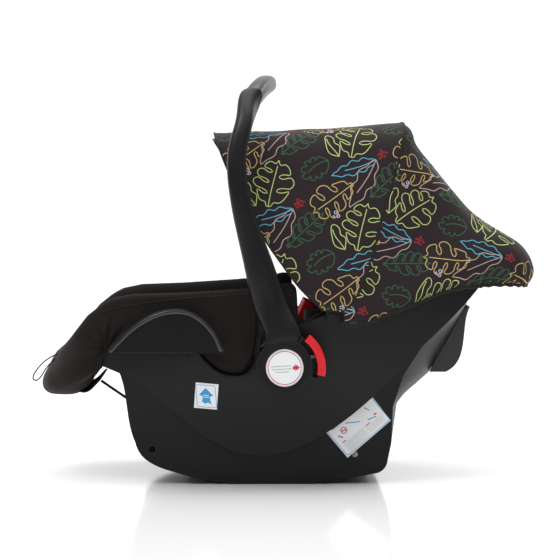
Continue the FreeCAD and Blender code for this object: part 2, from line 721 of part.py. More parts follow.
def build():
    os.makedirs(OUT, exist_ok=True)
    outer = outer_solid()
    export("shell", shell())
    export_pair("belt_guide", belt_guide().cut(outer))
    export("rear_belt_hook", rear_belt_hook().cut(outer))
    export("front_latch_bar", latch_bar(FRONT_BAR))
    export("rear_latch_bar", latch_bar(REAR_BAR))
    export_pair("hub_base", hub_base().cut(outer))
    export_pair("hub_bolt", hub_bolt())
    export_pair("canopy_pivot", canopy_pivot().cut(outer))
    export_pair("handle_arm", handle_arm())
    export("handle_crossbar", bar_loft(BAR, CORNER, V(-CORNER.x, CORNER.y, -CORNER.z)))
    export_pair("hub_cap", hub_cap())
    export_pair("hub_label", hub_label())
    export_pair("release_button", release_button())
    export_pair("button_spring", button_spring())
    export("canopy_front_bow", bow(FRONT_BOW, 186.5))
    export("canopy_rear_bow", bow(REAR_BOW, 184.1))
    export("canopy_front_panel", hood(HOOD_FRONT, True))
    export("canopy_rear_panel", hood(HOOD_REAR, False))
    export("canopy_skirt", skirt())
    export_pair("cover_side", cover_side())
    export("foot_roll", foot_roll())
    export("cover_flap", cover_flap())
    export_pair("elastic_strap", elastic_strap())
    export("cord_loop", cord_loop())
    export("seat_pad", seat_pad())
    export("back_pad", back_pad())
    export_pair("side_bolster", side_bolster())
    export_pair("head_pillow", mirrored(head_pillow()))
    export_pair("shoulder_strap", mirrored(shoulder_strap()))
    export_pair("shoulder_pad", mirrored(shoulder_pad()))
    export_pair("lap_strap", mirrored(lap_strap()))
    export("crotch_strap", crotch_strap())
    export("buckle_body", buckle_body())
    export_pair("buckle_tongue", mirrored(buckle_tongue()))
    export("buckle_button", buckle_button())
    export("buckle_spring", buckle_spring())
    export("adjuster_housing", adjuster_housing())
    export("adjuster_lever", adjuster_lever())
    arrow = [(-127, 105), (-96, 102.5), (-93.5, 137.5), (-124.5, 140)]
    export("arrow_label", label_patch(arrow))
    guide = [(111, 124), (141, 86), (82, 35.5), (50.5, 73)]
    export("instruction_label", label_patch(guide))


build()
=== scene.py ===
import math
import random

import bmesh
import bpy
import numpy as np
from mathutils import Matrix, Vector, noise
from mathutils.bvhtree import BVHTree
from mathutils.geometry import barycentric_transform


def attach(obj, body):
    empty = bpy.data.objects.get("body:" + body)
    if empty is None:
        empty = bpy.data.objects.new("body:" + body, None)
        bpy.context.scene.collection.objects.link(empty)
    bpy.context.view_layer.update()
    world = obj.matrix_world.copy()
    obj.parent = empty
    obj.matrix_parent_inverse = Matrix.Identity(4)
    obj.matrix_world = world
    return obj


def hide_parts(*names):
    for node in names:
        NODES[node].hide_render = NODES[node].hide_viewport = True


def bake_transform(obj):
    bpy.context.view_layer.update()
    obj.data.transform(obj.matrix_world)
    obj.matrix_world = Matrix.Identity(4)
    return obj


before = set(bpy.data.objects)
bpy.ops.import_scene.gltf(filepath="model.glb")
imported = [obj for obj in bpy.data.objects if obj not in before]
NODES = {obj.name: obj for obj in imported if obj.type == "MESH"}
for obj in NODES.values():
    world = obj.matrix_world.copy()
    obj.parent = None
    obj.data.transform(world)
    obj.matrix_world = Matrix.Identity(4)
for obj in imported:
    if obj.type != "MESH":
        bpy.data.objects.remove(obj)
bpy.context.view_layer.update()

CX, CZ = 0.059, 0.227          # canopy pivot
random.seed(7)


# ------------------------------------------------------------------ curves and meshes
def smooth_curve(points, count):
    """Natural cubic spline through points, resampled at equal arc length."""
    p = np.array(points, float)
    t = np.concatenate([[0], np.cumsum(np.linalg.norm(np.diff(p, axis=0), axis=1))])
    n, h = len(t), np.diff(t)
    a = np.eye(n)
    b = np.zeros((n, p.shape[1]))
    for i in range(1, n - 1):
        a[i, i - 1:i + 2] = h[i - 1], 2 * (h[i - 1] + h[i]), h[i]
        b[i] = 3 * ((p[i + 1] - p[i]) / h[i] - (p[i] - p[i - 1]) / h[i - 1])
    c = np.linalg.solve(a, b)
    s = np.linspace(0, t[-1], count * 6)
    k = np.clip(np.searchsorted(t, s, side="right") - 1, 0, n - 2)
    d = (s - t[k])[:, None]
    hk = h[k][:, None]
    slope = (p[k + 1] - p[k]) / hk - hk * (2 * c[k] + c[k + 1]) / 3
    q = p[k] + slope * d + c[k] * d ** 2 + (c[k + 1] - c[k]) / (3 * hk) * d ** 3
    length = np.concatenate([[0], np.cumsum(np.linalg.norm(np.diff(q, axis=0), axis=1))])
    want = np.linspace(0, length[-1], count)
    return np.stack([np.interp(want, length, q[:, j]) for j in range(p.shape[1])], axis=1)


def add_mesh(name, verts, faces, material=None, smooth=True, uv=None):
    mesh = bpy.data.meshes.new(name)
    mesh.from_pydata([tuple(v) for v in verts], [], [tuple(int(i) for i in f) for f in faces])
    mesh.validate()
    mesh.update()
    if smooth:
        mesh.polygons.foreach_set("use_smooth", [True] * len(mesh.polygons))
    if uv is not None:
        layer = mesh.uv_layers.new(name="UVMap")
        index = np.empty(len(mesh.loops), int)
        mesh.loops.foreach_get("vertex_index", index)
        layer.data.foreach_set("uv", np.asarray(uv, np.float32)[index].ravel())
    obj = bpy.data.objects.new(name, mesh)
    bpy.context.scene.collection.objects.link(obj)
    if material:
        mesh.materials.append(material)
    return obj


def grid_faces(rows, cols, wrap_cols=False, start=0):
    faces = []
    last = cols if wrap_cols else cols - 1
    for i in range(rows - 1):
        for j in range(last):
            k = (j + 1) % cols
            faces.append((start + i * cols + j, start + i * cols + k, start + (i + 1) * cols + k,
                          start + (i + 1) * cols + j))
    return faces


def grid_normals(grid):
    du = np.gradient(grid, axis=1)
    dv = np.gradient(grid, axis=0)
    n = np.cross(du, dv)
    return n / np.maximum(np.linalg.norm(n, axis=2, keepdims=True), 1e-12)


def shell_from_grid(name, grid, thickness, material, uv=None, flip=False):
    """Closed thin shell from a grid of points; thickness goes against the normals."""
    rows, cols = grid.shape[:2]
    n = grid_normals(grid) * (-1 if flip else 1)
    inner = grid - n * thickness
    verts = np.concatenate([grid.reshape(-1, 3), inner.reshape(-1, 3)])
    a = grid_faces(rows, cols)
    off = rows * cols
    b = [tuple(off + i for i in reversed(f)) for f in a]
    rim = [(i * cols, (i + 1) * cols) for i in range(rows - 1)]
    rim += [((rows - 1) * cols + j, (rows - 1) * cols + j + 1) for j in range(cols - 1)]
    rim += [((i + 1) * cols + cols - 1, i * cols + cols - 1) for i in range(rows - 1)]
    rim += [(j + 1, j) for j in range(cols - 1)]
    sides = [(q, p, p + off, q + off) for p, q in rim]
    if uv is not None:
        uv = np.concatenate([uv.reshape(-1, 2)] * 2)
    obj = add_mesh(name, verts, a + b + sides, material, uv=uv)
    fix_normals(obj)
    return obj


def fix_normals(obj):
    bm = bmesh.new()
    bm.from_mesh(obj.data)
    bmesh.ops.recalc_face_normals(bm, faces=bm.faces)
    bm.to_mesh(obj.data)
    bm.free()


def join(name, objs):
    bpy.ops.object.select_all(action="DESELECT")
    for o in objs:
        o.select_set(True)
    bpy.context.view_layer.objects.active = objs[0]
    bpy.ops.object.join()
    objs[0].name = name
    return objs[0]


def apply_modifiers(obj):
    graph = bpy.context.evaluated_depsgraph_get()
    mesh = bpy.data.meshes.new_from_object(obj.evaluated_get(graph))
    obj.modifiers.clear()
    obj.data = mesh
    return obj


def tube(name, points, radius, material, sides=8):
    """Round tube along points."""
    p = np.array(points, float)
    n = len(p)
    tangent = np.gradient(p, axis=0)
    tangent /= np.linalg.norm(tangent, axis=1)[:, None]
    up = np.array((0.31, 0.17, 0.93))
    verts = []
    for i in range(n):
        a = np.cross(tangent[i], up)
        a /= np.linalg.norm(a)
        b = np.cross(tangent[i], a)
        for k in range(sides):
            w = math.tau * k / sides
            verts.append(p[i] + radius * (math.cos(w) * a + math.sin(w) * b))
    faces = grid_faces(n, sides, wrap_cols=True)
    faces += [tuple(range(sides))[::-1], tuple((n - 1) * sides + k for k in range(sides))]
    obj = add_mesh(name, verts, faces, material)
    fix_normals(obj)
    return obj


# ------------------------------------------------------------------ materials
BUCKLE_SPLIT = (NODES["buckle_body"].matrix_world.inverted() @ Vector((0.026, 0.0, 0.219))).z


def new_material(name, color, rough, **sockets):
    m = bpy.data.materials.new(name)
    m.use_nodes = True
    shader = m.node_tree.nodes["Principled BSDF"]
    shader.inputs["Base Color"].default_value = (*color, 1)
    shader.inputs["Roughness"].default_value = rough
    for key, value in sockets.items():
        shader.inputs[key.replace("_", " ")].default_value = value
    return m


def node(m, kind, **settings):
    made = m.node_tree.nodes.new(kind)
    for key, value in settings.items():
        if key in made.inputs:
            made.inputs[key].default_value = value
        else:
            setattr(made, key, value)
    return made


def wire(m, a, b):
    m.node_tree.links.new(a, b)


def shader_of(m):
    return m.node_tree.nodes["Principled BSDF"]


def coordinates(m, use_uv=False):
    return node(m, "ShaderNodeTexCoord").outputs["UV" if use_uv else "Object"]


def bump(m, height, strength, distance, before=None):
    b = node(m, "ShaderNodeBump", Strength=strength, Distance=distance)
    wire(m, height, b.inputs["Height"])
    if before is not None:
        wire(m, before, b.inputs["Normal"])
    wire(m, b.outputs["Normal"], shader_of(m).inputs["Normal"])
    return b.outputs["Normal"]


def tint(m, color, dark, light, factor):
    """Base colour varied between dark and light times the colour."""
    ramp = node(m, "ShaderNodeMix", data_type="RGBA")
    ramp.inputs[6].default_value = (*[c * dark for c in color], 1)
    ramp.inputs[7].default_value = (*[min(1, c * light) for c in color], 1)
    wire(m, factor, ramp.inputs[0])
    wire(m, ramp.outputs[2], shader_of(m).inputs["Base Color"])


def plastic(name, color, rough, grain=2600, depth=0.00012, **sockets):
    """Moulded plastic: fine spark-eroded grain and slight unevenness in gloss."""
    m = new_material(name, color, rough, **sockets)
    where = coordinates(m)
    fine = node(m, "ShaderNodeTexNoise", Scale=grain, Detail=3.0, Roughness=0.65)
    wide = node(m, "ShaderNodeTexNoise", Scale=9.0, Detail=4.0)
    wire(m, where, fine.inputs["Vector"])
    wire(m, where, wide.inputs["Vector"])
    tint(m, color, 0.86, 1.16, wide.outputs["Fac"])
    spread = node(m, "ShaderNodeMapRange")
    spread.inputs["To Min"].default_value = rough - 0.05
    spread.inputs["To Max"].default_value = rough + 0.09
    wire(m, wide.outputs["Fac"], spread.inputs["Value"])
    wire(m, spread.outputs["Result"], shader_of(m).inputs["Roughness"])
    bump(m, fine.outputs["Fac"], 0.35, depth)
    return m


def two_tone(name, low, high, split, rough):
    """Plastic moulded in two colours: low below the height split, high above it."""
    m = plastic(name, low, rough)
    height = node(m, "ShaderNodeSeparateXYZ")
    wire(m, coordinates(m), height.inputs["Vector"])
    above = node(m, "ShaderNodeMath", operation="GREATER_THAN")
    above.inputs[1].default_value = split
    wire(m, height.outputs["Z"], above.inputs[0])
    mix = node(m, "ShaderNodeMix", data_type="RGBA")
    mix.inputs[6].default_value = (*low, 1)
    mix.inputs[7].default_value = (*high, 1)
    wire(m, above.outputs[0], mix.inputs[0])
    wire(m, mix.outputs[2], shader_of(m).inputs["Base Color"])
    return m


def cloth(name, color, scale=1500, sheen=0.35, tint_color=(0.55, 0.45, 0.42), depth=0.00025, fold=0.0):
    """Knitted or woven cover: thread cells, fuzz and a soft sheen."""
    m = new_material(name, color, 0.86, Sheen_Weight=sheen, Sheen_Roughness=0.45,
                     Sheen_Tint=(*tint_color, 1), Specular_IOR_Level=0.25)
    where = coordinates(m)
    thread = node(m, "ShaderNodeTexVoronoi", Scale=scale, Randomness=0.45)
    fuzz = node(m, "ShaderNodeTexNoise", Scale=scale * 0.55, Detail=4.0)
    wide = node(m, "ShaderNodeTexNoise", Scale=16.0, Detail=3.0)
    for t in (thread, fuzz, wide):
        wire(m, where, t.inputs["Vector"])
    mix = node(m, "ShaderNodeMix", data_type="FLOAT")
    mix.inputs[0].default_value = 0.45
    wire(m, thread.outputs["Distance"], mix.inputs[2])
    wire(m, fuzz.outputs["Fac"], mix.inputs[3])
    tint(m, color, 0.72, 1.3, mix.outputs[0])
    normal = None
    if fold:
        soft = node(m, "ShaderNodeBump", Strength=0.5, Distance=fold)
        wire(m, wide.outputs["Fac"], soft.inputs["Height"])
        normal = soft.outputs["Normal"]
    bump(m, mix.outputs[0], 0.6, depth, normal)
    return m


def webbing(name, color):
    """Seat-belt webbing: close ribs across the strap and a finer twill along it, from the strap's own UVs."""
    m = new_material(name, color, 0.55, Sheen_Weight=0.1, Sheen_Roughness=0.4, Specular_IOR_Level=0.3)
    where = coordinates(m, True)
    waves = []
    for across_it, scale in ((True, 95.0), (False, 60.0)):
        stretch = node(m, "ShaderNodeMapping")
        stretch.inputs["Scale"].default_value = (0, 1, 0) if across_it else (1, 0, 0)
        wave = node(m, "ShaderNodeTexWave", Scale=scale, Distortion=0.4)
        wave.bands_direction = "Y" if across_it else "X"
        wire(m, where, stretch.inputs["Vector"])
        wire(m, stretch.outputs["Vector"], wave.inputs["Vector"])
        waves.append(wave)
    mix = node(m, "ShaderNodeMix", data_type="FLOAT")
    mix.inputs[0].default_value = 0.4
    wire(m, waves[0].outputs["Fac"], mix.inputs[2])
    wire(m, waves[1].outputs["Fac"], mix.inputs[3])
    tint(m, color, 0.55, 1.7, mix.outputs[0])
    bump(m, mix.outputs[0], 0.6, 0.0003)
    return m


def brushed(name, color, rough):
    m = new_material(name, color, rough, Metallic=1.0)
    where = coordinates(m)
    stretch = node(m, "ShaderNodeMapping")
    stretch.inputs["Scale"].default_value = (1, 0.03, 1)
    streaks = node(m, "ShaderNodeTexNoise", Scale=1800.0, Detail=2.0)
    wire(m, where, stretch.inputs["Vector"])
    wire(m, stretch.outputs["Vector"], streaks.inputs["Vector"])
    tint(m, color, 0.8, 1.1, streaks.outputs["Fac"])
    bump(m, streaks.outputs["Fac"], 0.2, 0.0001)
    return m


SHELL = plastic("shell_grain", (0.0075, 0.0070, 0.0073), 0.42, Specular_IOR_Level=0.20)
DARK = plastic("dark_moulding", (0.0085, 0.0080, 0.0083), 0.31, grain=3400, depth=0.00007,
               Specular_IOR_Level=0.27)
GUIDE = plastic("guide_moulding", (0.0035, 0.0031, 0.0031), 0.27, Specular_IOR_Level=0.24)
HUB = plastic("hub_moulding", (0.0060, 0.0056, 0.0058), 0.36, Specular_IOR_Level=0.22)
HOOK = plastic("hook_moulding", (0.0300, 0.0265, 0.0250), 0.45)
# rolled edge of the belt guides: base colour nearly four times lighter than the guide moulding it belongs to,
# a painted highlight along the edge; its higher gloss is real
ROLL_PAINTED_HIGHLIGHT = plastic("guide_edge_painted_highlight", (0.0130, 0.0122, 0.0122), 0.22, depth=0.00004, Specular_IOR_Level=0.62)
BUCKLE = two_tone("buckle_shell", (0.0085, 0.0080, 0.0083), (0.52, 0.002, 0.010), BUCKLE_SPLIT, 0.30)
RED = plastic("red_moulding", (0.62, 0.002, 0.012), 0.26, depth=0.00003, Coat_Weight=0.25)
STEEL = brushed("bright_steel", (0.55, 0.55, 0.56), 0.32)
LABEL = plastic("label_film", (0.78, 0.79, 0.80), 0.38, depth=0.00002)
BLUE_INK = plastic("blue_ink", (0.012, 0.30, 0.62), 0.45, depth=0.00002)
RED_INK = plastic("red_ink", (0.55, 0.02, 0.03), 0.45, depth=0.00002)
GREY_INK = plastic("grey_ink", (0.30, 0.30, 0.31), 0.5, depth=0.00002)
COVER = cloth("cover_knit", (0.0085, 0.0058, 0.0053), sheen=0.07)
INSERT = cloth("inner_pad_knit", (0.0080, 0.0060, 0.0056), scale=1300, sheen=0.07)
CANOPY = cloth("canopy_weave", (0.0190, 0.0120, 0.0140), scale=2400, sheen=0.05, tint_color=(0.6, 0.5, 0.5),
               depth=0.00015)
PIPING = cloth("seam_piping", (0.0115, 0.0095, 0.0090), scale=3000, sheen=0.2)
WEB = webbing("harness_webbing", (0.008, 0.008, 0.0085))
INKS = {
    "lime": (0.44, 0.54, 0.19), "mustard": (0.50, 0.37, 0.14), "fern": (0.035, 0.115, 0.058),
    "cyan": (0.10, 0.38, 0.52), "pink": (0.44, 0.31, 0.27), "berry": (0.34, 0.022, 0.032),
    "ring": (0.48, 0.46, 0.66),
}
INK = {k: cloth("print_" + k, c, scale=2600, sheen=0.05, depth=0.0001) for k, c in INKS.items()}

CAD_LOOKS = {
    "shell": SHELL, "rear_belt_hook": HOOK, "front_latch_bar": STEEL, "rear_latch_bar": STEEL,
    "handle_crossbar": DARK, "buckle_body": BUCKLE, "buckle_button": RED, "buckle_spring": STEEL,
    "adjuster_housing": DARK, "adjuster_lever": RED, "canopy_front_bow": DARK, "canopy_rear_bow": DARK,
    "arrow_label": LABEL, "instruction_label": LABEL,
}
for side in ("right", "left"):
    for stem, look in (("belt_guide", GUIDE), ("hub_base", HUB), ("hub_bolt", STEEL), ("canopy_pivot", DARK),
                       ("handle_arm", DARK), ("hub_cap", HUB), ("hub_label", LABEL), ("release_button", RED),
                       ("button_spring", STEEL), ("buckle_tongue", DARK)):
        CAD_LOOKS[stem + "_" + side] = look


def dress(name, look, edge=0.0008):
    """A CAD piece carried over: smooth shading, rounded edges and its finish."""
    obj = NODES[name]
    obj.data.materials.clear()
    obj.data.materials.append(look)
    obj.data.polygons.foreach_set("use_smooth", [True] * len(obj.data.polygons))
    weld = obj.modifiers.new("weld", "WELD")
    weld.merge_threshold = 0.00002
    if edge:
        bevel = obj.modifiers.new("edge", "BEVEL")
        bevel.width = edge
        bevel.segments = 2
        bevel.limit_method = "ANGLE"
        bevel.angle_limit = math.radians(38)
        bevel.use_clamp_overlap = True
    even = obj.modifiers.new("even", "WEIGHTED_NORMAL")
    even.keep_sharp = True
    return obj


SHARP_PIECES = ("button_spring", "buckle_spring", "arrow", "instruction", "hub_label", "front_latch",
                "rear_latch", "hub_bolt", "adjuster")
PLAIN_EDGE = 0.0009            # rounding of a moulded edge
HANDLE_EDGE = 0.0002           # so that the joint of arm and crossbar shows
for name, look in CAD_LOOKS.items():
    edge = PLAIN_EDGE
    if name.startswith(SHARP_PIECES):
        edge = 0.0
    elif name.startswith("handle_"):
        edge = HANDLE_EDGE
    dress(name, look, edge)


# ------------------------------------------------------------------ canopy cloth
def hood_points(r, mid, corner):
    """Radius and Y of one arch, ear to ear, in millimetres: r over the roof, mid and corner half widths."""
    run = [(16, 192.8), (0.3 * r, 187.0), (0.55 * r, mid + 2.4), (r - 60, corner + 2.4),
           (r - 15, corner - 18), (r - 2, 90.0)]
    return [(a, -b) for a, b in run] + [(r, 0.0)] + [(a, b) for a, b in reversed(run)]


ACROSS = 211                   # points along each arch


def arch(r, mid=172.0, corner=156.0):
    """Radius and Y along the arch, in metres."""
    return smooth_curve(np.array(hood_points(r, mid, corner)) * 0.001, ACROSS)


def in_plane(curve, degrees):
    a = np.radians(degrees)
    return np.stack([CX + curve[:, 0] * np.cos(a), curve[:, 1], CZ + curve[:, 0] * np.sin(a)], axis=1)


def ripple(p, size, seed):
    return noise.noise(Vector((p[0] / size + seed, p[1] / size, p[2] / size)))


def roughen(grid, amount, size, seed):
    """Low soft folds along the normals."""
    n = grid_normals(grid)
    out = grid.copy()
    for i in range(grid.shape[0]):
        for j in range(grid.shape[1]):
            out[i, j] += n[i, j] * amount * ripple(grid[i, j], size, seed)
    return out


FRONT_EDGE = ((0.016, 138), (0.060, 136), (0.099, 132.5), (0.146, 130), (0.245, 125), (0.299, 122.3))
SEAM = ((0.016, 34), (0.055, 46), (0.093, 56), (0.131, 61.5), (0.175, 64.3), (0.205, 65.6), (0.286, 68.6))
HEM = ((0.016, -26), (0.042, -9.5), (0.068, 3.4), (0.116, 10.4), (0.146, 13.2), (0.174, 13.4), (0.220, 11.6),
       (0.270, 9.2))


def angle_of(table, r):
    return np.interp(r, [a for a, _ in table], [b for _, b in table])


def front_grid():
    a = arch(299.0)
    b = arch(286.0)
    near = in_plane(a, angle_of(FRONT_EDGE, a[:, 0]))
    far = in_plane(b, angle_of(SEAM, b[:, 0]) + 0.25)
    steps = np.linspace(0, 1, 62)[:, None, None]
    grid = near[None] * (1 - steps) + far[None] * steps
    sag = np.sin(np.pi * steps[:, :, 0]) * np.clip((grid[:, :, 2] - 0.42) / 0.05, 0, 1)
    grid[:, :, 2] -= 0.0022 * sag
    return roughen(grid, 0.0022, 0.055, 3.0)


REAR_LEVELS = ((68.6, 286.0), (67.2, 284.5), (65.0, 273.0), (61.4, 261.5), (56.7, 253.8), (51.9, 247.8),
               (46.7, 244.0), (41.5, 242.4), (36.1, 243.6), (30.3, 251.0), (23.8, 270.5), (18.9, 285.0),
               (15.1, 289.5), (11.7, 288.4), (8.6, 275.5))
REAR_WIDTHS = ((8.6, 175.0, 160.0), (24.3, 175.0, 160.0), (37.0, 173.0, 159.0), (52.0, 172.0, 157.0),
               (68.6, 172.0, 156.0))


def rear_sheet():
    """One cloth from the rear bow seam down to the elastic hem."""
    angles = np.linspace(68.6, 8.6, 84)
    levels = np.array(sorted(REAR_LEVELS))
    widths = np.array(REAR_WIDTHS)
    profile = smooth_curve([(angle, r * 0.3) for angle, r in levels], 300)
    grid = []
    for nominal in angles:
        r = np.interp(nominal, profile[:, 0], profile[:, 1]) / 0.3
        mid, corner = (np.interp(nominal, widths[:, 0], widths[:, k]) for k in (1, 2))
        curve = arch(r, mid, corner)
        share = (68.6 - nominal) / (68.6 - 8.6)
        upper = angle_of(SEAM, curve[:, 0]) - 0.1
        lower = angle_of(HEM, curve[:, 0])
        grid.append(in_plane(curve, upper * (1 - share) + lower * share))
    grid = np.array(grid)
    n = grid_normals(grid)
    rows = grid.shape[0]
    along = np.concatenate([[0], np.cumsum(np.linalg.norm(np.diff(grid[-1], axis=0), axis=1))])
    for i in range(rows):
        near_hem = math.exp(-(rows - 1 - i) / 7.0)
        for j in range(grid.shape[1]):
            p = grid[i, j]
            gather = math.sin(along[j] * 420 + 2.5 * noise.noise(Vector((along[j] * 30, 0, 5))))
            push = 0.0021 * near_hem * gather + 0.0024 * ripple(p, 0.06, 9.0)
            grid[i, j] = p - n[i, j] * push * 0.9
    return grid


FAR_HALF = 0.9                 # shift of the far half in the flat drawing, clear of the near half


def cloth_coordinates(grid, polar=False):
    """Flat coordinates of a curved cloth: X against height on the sides, carried on over the roof."""
    step = np.diff(grid, axis=1)
    if polar:
        start = np.zeros((grid.shape[0], 1))
        run = np.concatenate([start, np.cumsum(np.linalg.norm(step, axis=2), axis=1)], axis=1)
        total = run[:, -1:]
        reach = np.minimum(run, total - run) + 0.016
        angle = np.arctan2(grid[:, :, 2] - CZ, grid[:, :, 0] - CX)
        middle = np.median(angle[:, 60:150], axis=1, keepdims=True)
        far = np.clip((reach - 0.2) / 0.04, 0, 1)
        angle = angle * (1 - far) + middle * far
        flat = np.stack([CX + reach * np.cos(angle), CZ + reach * np.sin(angle)], axis=2)
        flat[:, :, 0] += np.where(run > total / 2, FAR_HALF, 0.0)
    else:
        rise = np.concatenate([np.zeros((grid.shape[0], 1)),
                               np.cumsum(np.linalg.norm(step[:, :, 1:], axis=2), axis=1)], axis=1)
        flat = np.stack([grid[:, :, 0], grid[:, :1, 2] + rise], axis=2)
    return flat


class Printed:
    """Puts flat drawings onto a curved cloth grid."""

    def __init__(self, grid, flat, lift, outward):
        self.points = [Vector(p) for p in grid.reshape(-1, 3)]
        self.flat = [Vector((p[0], p[1], 0)) for p in flat.reshape(-1, 2)]
        self.faces = []
        for f in grid_faces(*grid.shape[:2]):
            a = self.flat
            if max((a[f[0]] - a[f[2]]).length, (a[f[1]] - a[f[3]]).length) < 0.05:
                self.faces += [(f[0], f[1], f[2]), (f[0], f[2], f[3])]
        self.tree = BVHTree.FromPolygons(self.flat, self.faces)
        self.normals = [Vector(n) * outward for n in grid_normals(grid).reshape(-1, 3)]
        self.lift = lift

    def place(self, x, y):
        hit = self.tree.ray_cast(Vector((x, y, 1)), Vector((0, 0, -1)))
        if hit[2] is None:
            return None
        f = self.faces[hit[2]]
        flat = [self.flat[i] for i in f]
        here = Vector((x, y, 0))
        p = barycentric_transform(here, *flat, *[self.points[i] for i in f])
        n = sum((self.normals[i] for i in f), Vector()).normalized()
        return p + n * self.lift

    def line(self, points, width):
        """Vertices and faces of a printed line."""
        p = resample(points, 0.0028)
        t = np.gradient(p, axis=0)
        t /= np.maximum(np.linalg.norm(t, axis=1)[:, None], 1e-9)
        side = np.stack([-t[:, 1], t[:, 0]], axis=1) * width / 2
        pairs = [(self.place(*(a + b)), self.place(*(a - b))) for a, b in zip(p, side)]
        verts, faces = [], []
        last = None
        for pair in pairs:
            if None in pair:
                last = None
                continue
            verts += pair
            k = len(verts)
            if last is not None:
                faces.append((last, last + 1, k - 1, k - 2))
            last = k - 2
        return verts, faces


def resample(points, step):
    p = np.array(points, float)
    run = np.concatenate([[0], np.cumsum(np.linalg.norm(np.diff(p, axis=0), axis=1))])
    count = max(3, int(run[-1] / step) + 1)
    want = np.linspace(0, run[-1], count)
    return np.stack([np.interp(want, run, p[:, k]) for k in (0, 1)], axis=1)


# ------------------------------------------------------------------ leaf drawings, millimetres
def rounded(points, count=None):
    return smooth_curve(points, count or len(points) * 7)


def half_width(t, wide, peak):
    """Leaf half width along its length."""
    return wide * (t / peak) ** 0.6 if t < peak else wide * (1 - ((t - peak) / (1 - peak)) ** 2.2) ** 0.8


def lobed_leaf(length, wide, lobes, peak=0.38, depth=0.78, slant=0.30):
    """Split leaf: long rounded fingers with narrow slots between them on each side, and a vein."""
    lines = []
    for side, count in ((1, lobes), (-1, max(2, lobes - 1))):
        run = [(0.0, 0.5 * side), (0.01 * length, 0.10 * wide * side)]
        for k in range(count):
            a, b = 0.03 + 0.90 * k / count, 0.03 + 0.90 * (k + 1) / count
            gap = 0.16 * (b - a)
            for t, reach in ((a + gap, 0.45), (a + gap * 0.7, 0.86), ((a + b) / 2, 1.0),
                             (b - gap * 0.7, 0.86), (b - gap, 0.45)):
                w = half_width(min(0.97, t + 0.02), wide, peak) * reach
                run.append((t * length + slant * w, w * side))
            if k < count - 1:
                w = half_width(b, wide, peak) * (1 - depth)
                run.append((b * length + slant * w, w * side))
        run.append((length, 0.0))
        lines.append(rounded(run, 12 * len(run)))
    vein = [(0, 0), (0.3 * length, 0.03 * wide), (0.6 * length, 0.02 * wide), (0.88 * length, 0)]
    lines.append(rounded(vein))
    return lines


def wavy_leaf(length, wide, waves=4):
    """Slim leaf with a wavy edge and a vein."""
    lines = []
    for side, phase in ((1, 0.0), (-1, 1.7)):
        run = []
        for i in range(15):
            t = i / 14
            w = wide * math.sin(math.pi * t ** 0.85) ** 0.8
            w *= 1 + 0.22 * math.sin(waves * math.tau * t + phase)
            run.append((t * length, w * side))
        lines.append(rounded(run, 60))
    lines.append(rounded([(0, 0), (0.35 * length, 0.12 * wide), (0.7 * length, -0.08 * wide)]))
    return lines


def bud_leaf(length, wide):
    run = [(0, 0), (0.25 * length, wide), (0.6 * length, wide * 0.9), (length, 0),
           (0.72 * length, -0.55 * wide),
           (0.55 * length, -0.35 * wide), (0.4 * length, -0.75 * wide), (0.2 * length, -0.5 * wide), (0, 0)]
    vein = [(0, 0), (0.3 * length, 0.2 * wide), (0.6 * length, 0.45 * wide), (0.85 * length, 0.35 * wide)]
    return [rounded(run), rounded(vein)]


def round_leaf(radius):
    run = []
    for i in range(73):
        a = math.tau * i / 72
        dent = max(0.0, math.sin(9 * a)) ** 2 if 0.8 < a < 5.2 else 0.0
        r = radius * (1 - 0.38 * dent) * (1 - 0.28 * abs(math.sin(a)))
        run.append((r * math.cos(a), r * math.sin(a)))
    return [rounded(run, 150), rounded([(radius, 0), (0.2 * radius, 0.15 * radius), (-0.5 * radius, 0)])]


def circle(x, y, r):
    return [(x + r * math.cos(math.tau * i / 12), y + r * math.sin(math.tau * i / 12)) for i in range(13)]


def berries(count, spread, r):
    """Loose cluster of small rings."""
    turn = 2.4
    reach = [spread * math.sqrt(k / count) for k in range(count)]
    return [circle(reach[k] * math.cos(turn * k), reach[k] * math.sin(turn * k), r)
            for k in range(count)]


def placed(lines, base, tip):
    """Lines drawn along +X from 0, moved so that they start at base and aim at tip."""
    a = math.atan2(tip[1] - base[1], tip[0] - base[0])
    c, s = math.cos(a), math.sin(a)
    return [[(base[0] + c * x - s * y, base[1] + s * x + c * y) for x, y in line] for line in lines]


def span(base, tip):
    return math.dist(base, tip)


def motif():
    """One repeat of the print: ink name and a line, in millimetres."""
    out = []

    def draw(ink, lines, base=(0, 0), tip=(1, 0)):
        out.extend((ink, line) for line in placed(lines, base, tip))

    a, b = (-41.6, -4.4), (-26.5, 59.9)
    draw("lime", lobed_leaf(span(a, b), 28, 4, peak=0.34), a, b)
    a, b = (-58.0, -3.0), (-74.0, 31.0)
    draw("lime", bud_leaf(span(a, b), 9.5), a, b)
    a, b = (73.0, 27.0), (19.5, -13.2)
    draw("mustard", lobed_leaf(span(a, b), 24, 4, peak=0.5), a, b)
    a, b = (-15.8, -59.9), (33.4, -13.2)
    draw("fern", lobed_leaf(span(a, b), 17, 5, peak=0.45, depth=0.85, slant=0.5), a, b)
    draw("fern", round_leaf(21), (22.0, 48.5), (40.0, 60.0))
    a, b = (105.2, 60.5), (44.7, 38.4)
    draw("cyan", wavy_leaf(span(a, b), 9.0), a, b)
    b = (68.7, -5.7)
    draw("pink", wavy_leaf(span(a, b), 12.0, 3), a, b)
    draw("berry", berries(9, 7.0, 1.7))
    rings = [circle(0, 2.5, 2.3), circle(3.4, -2.4, 2.3), circle(-2.6, -3.0, 1.6)]
    draw("ring", rings, (49.8, -15.0), (60.0, -15.0))
    return out


REPEAT_A = (113.0, 68.5)
REPEAT_B = (120.0, -60.0)


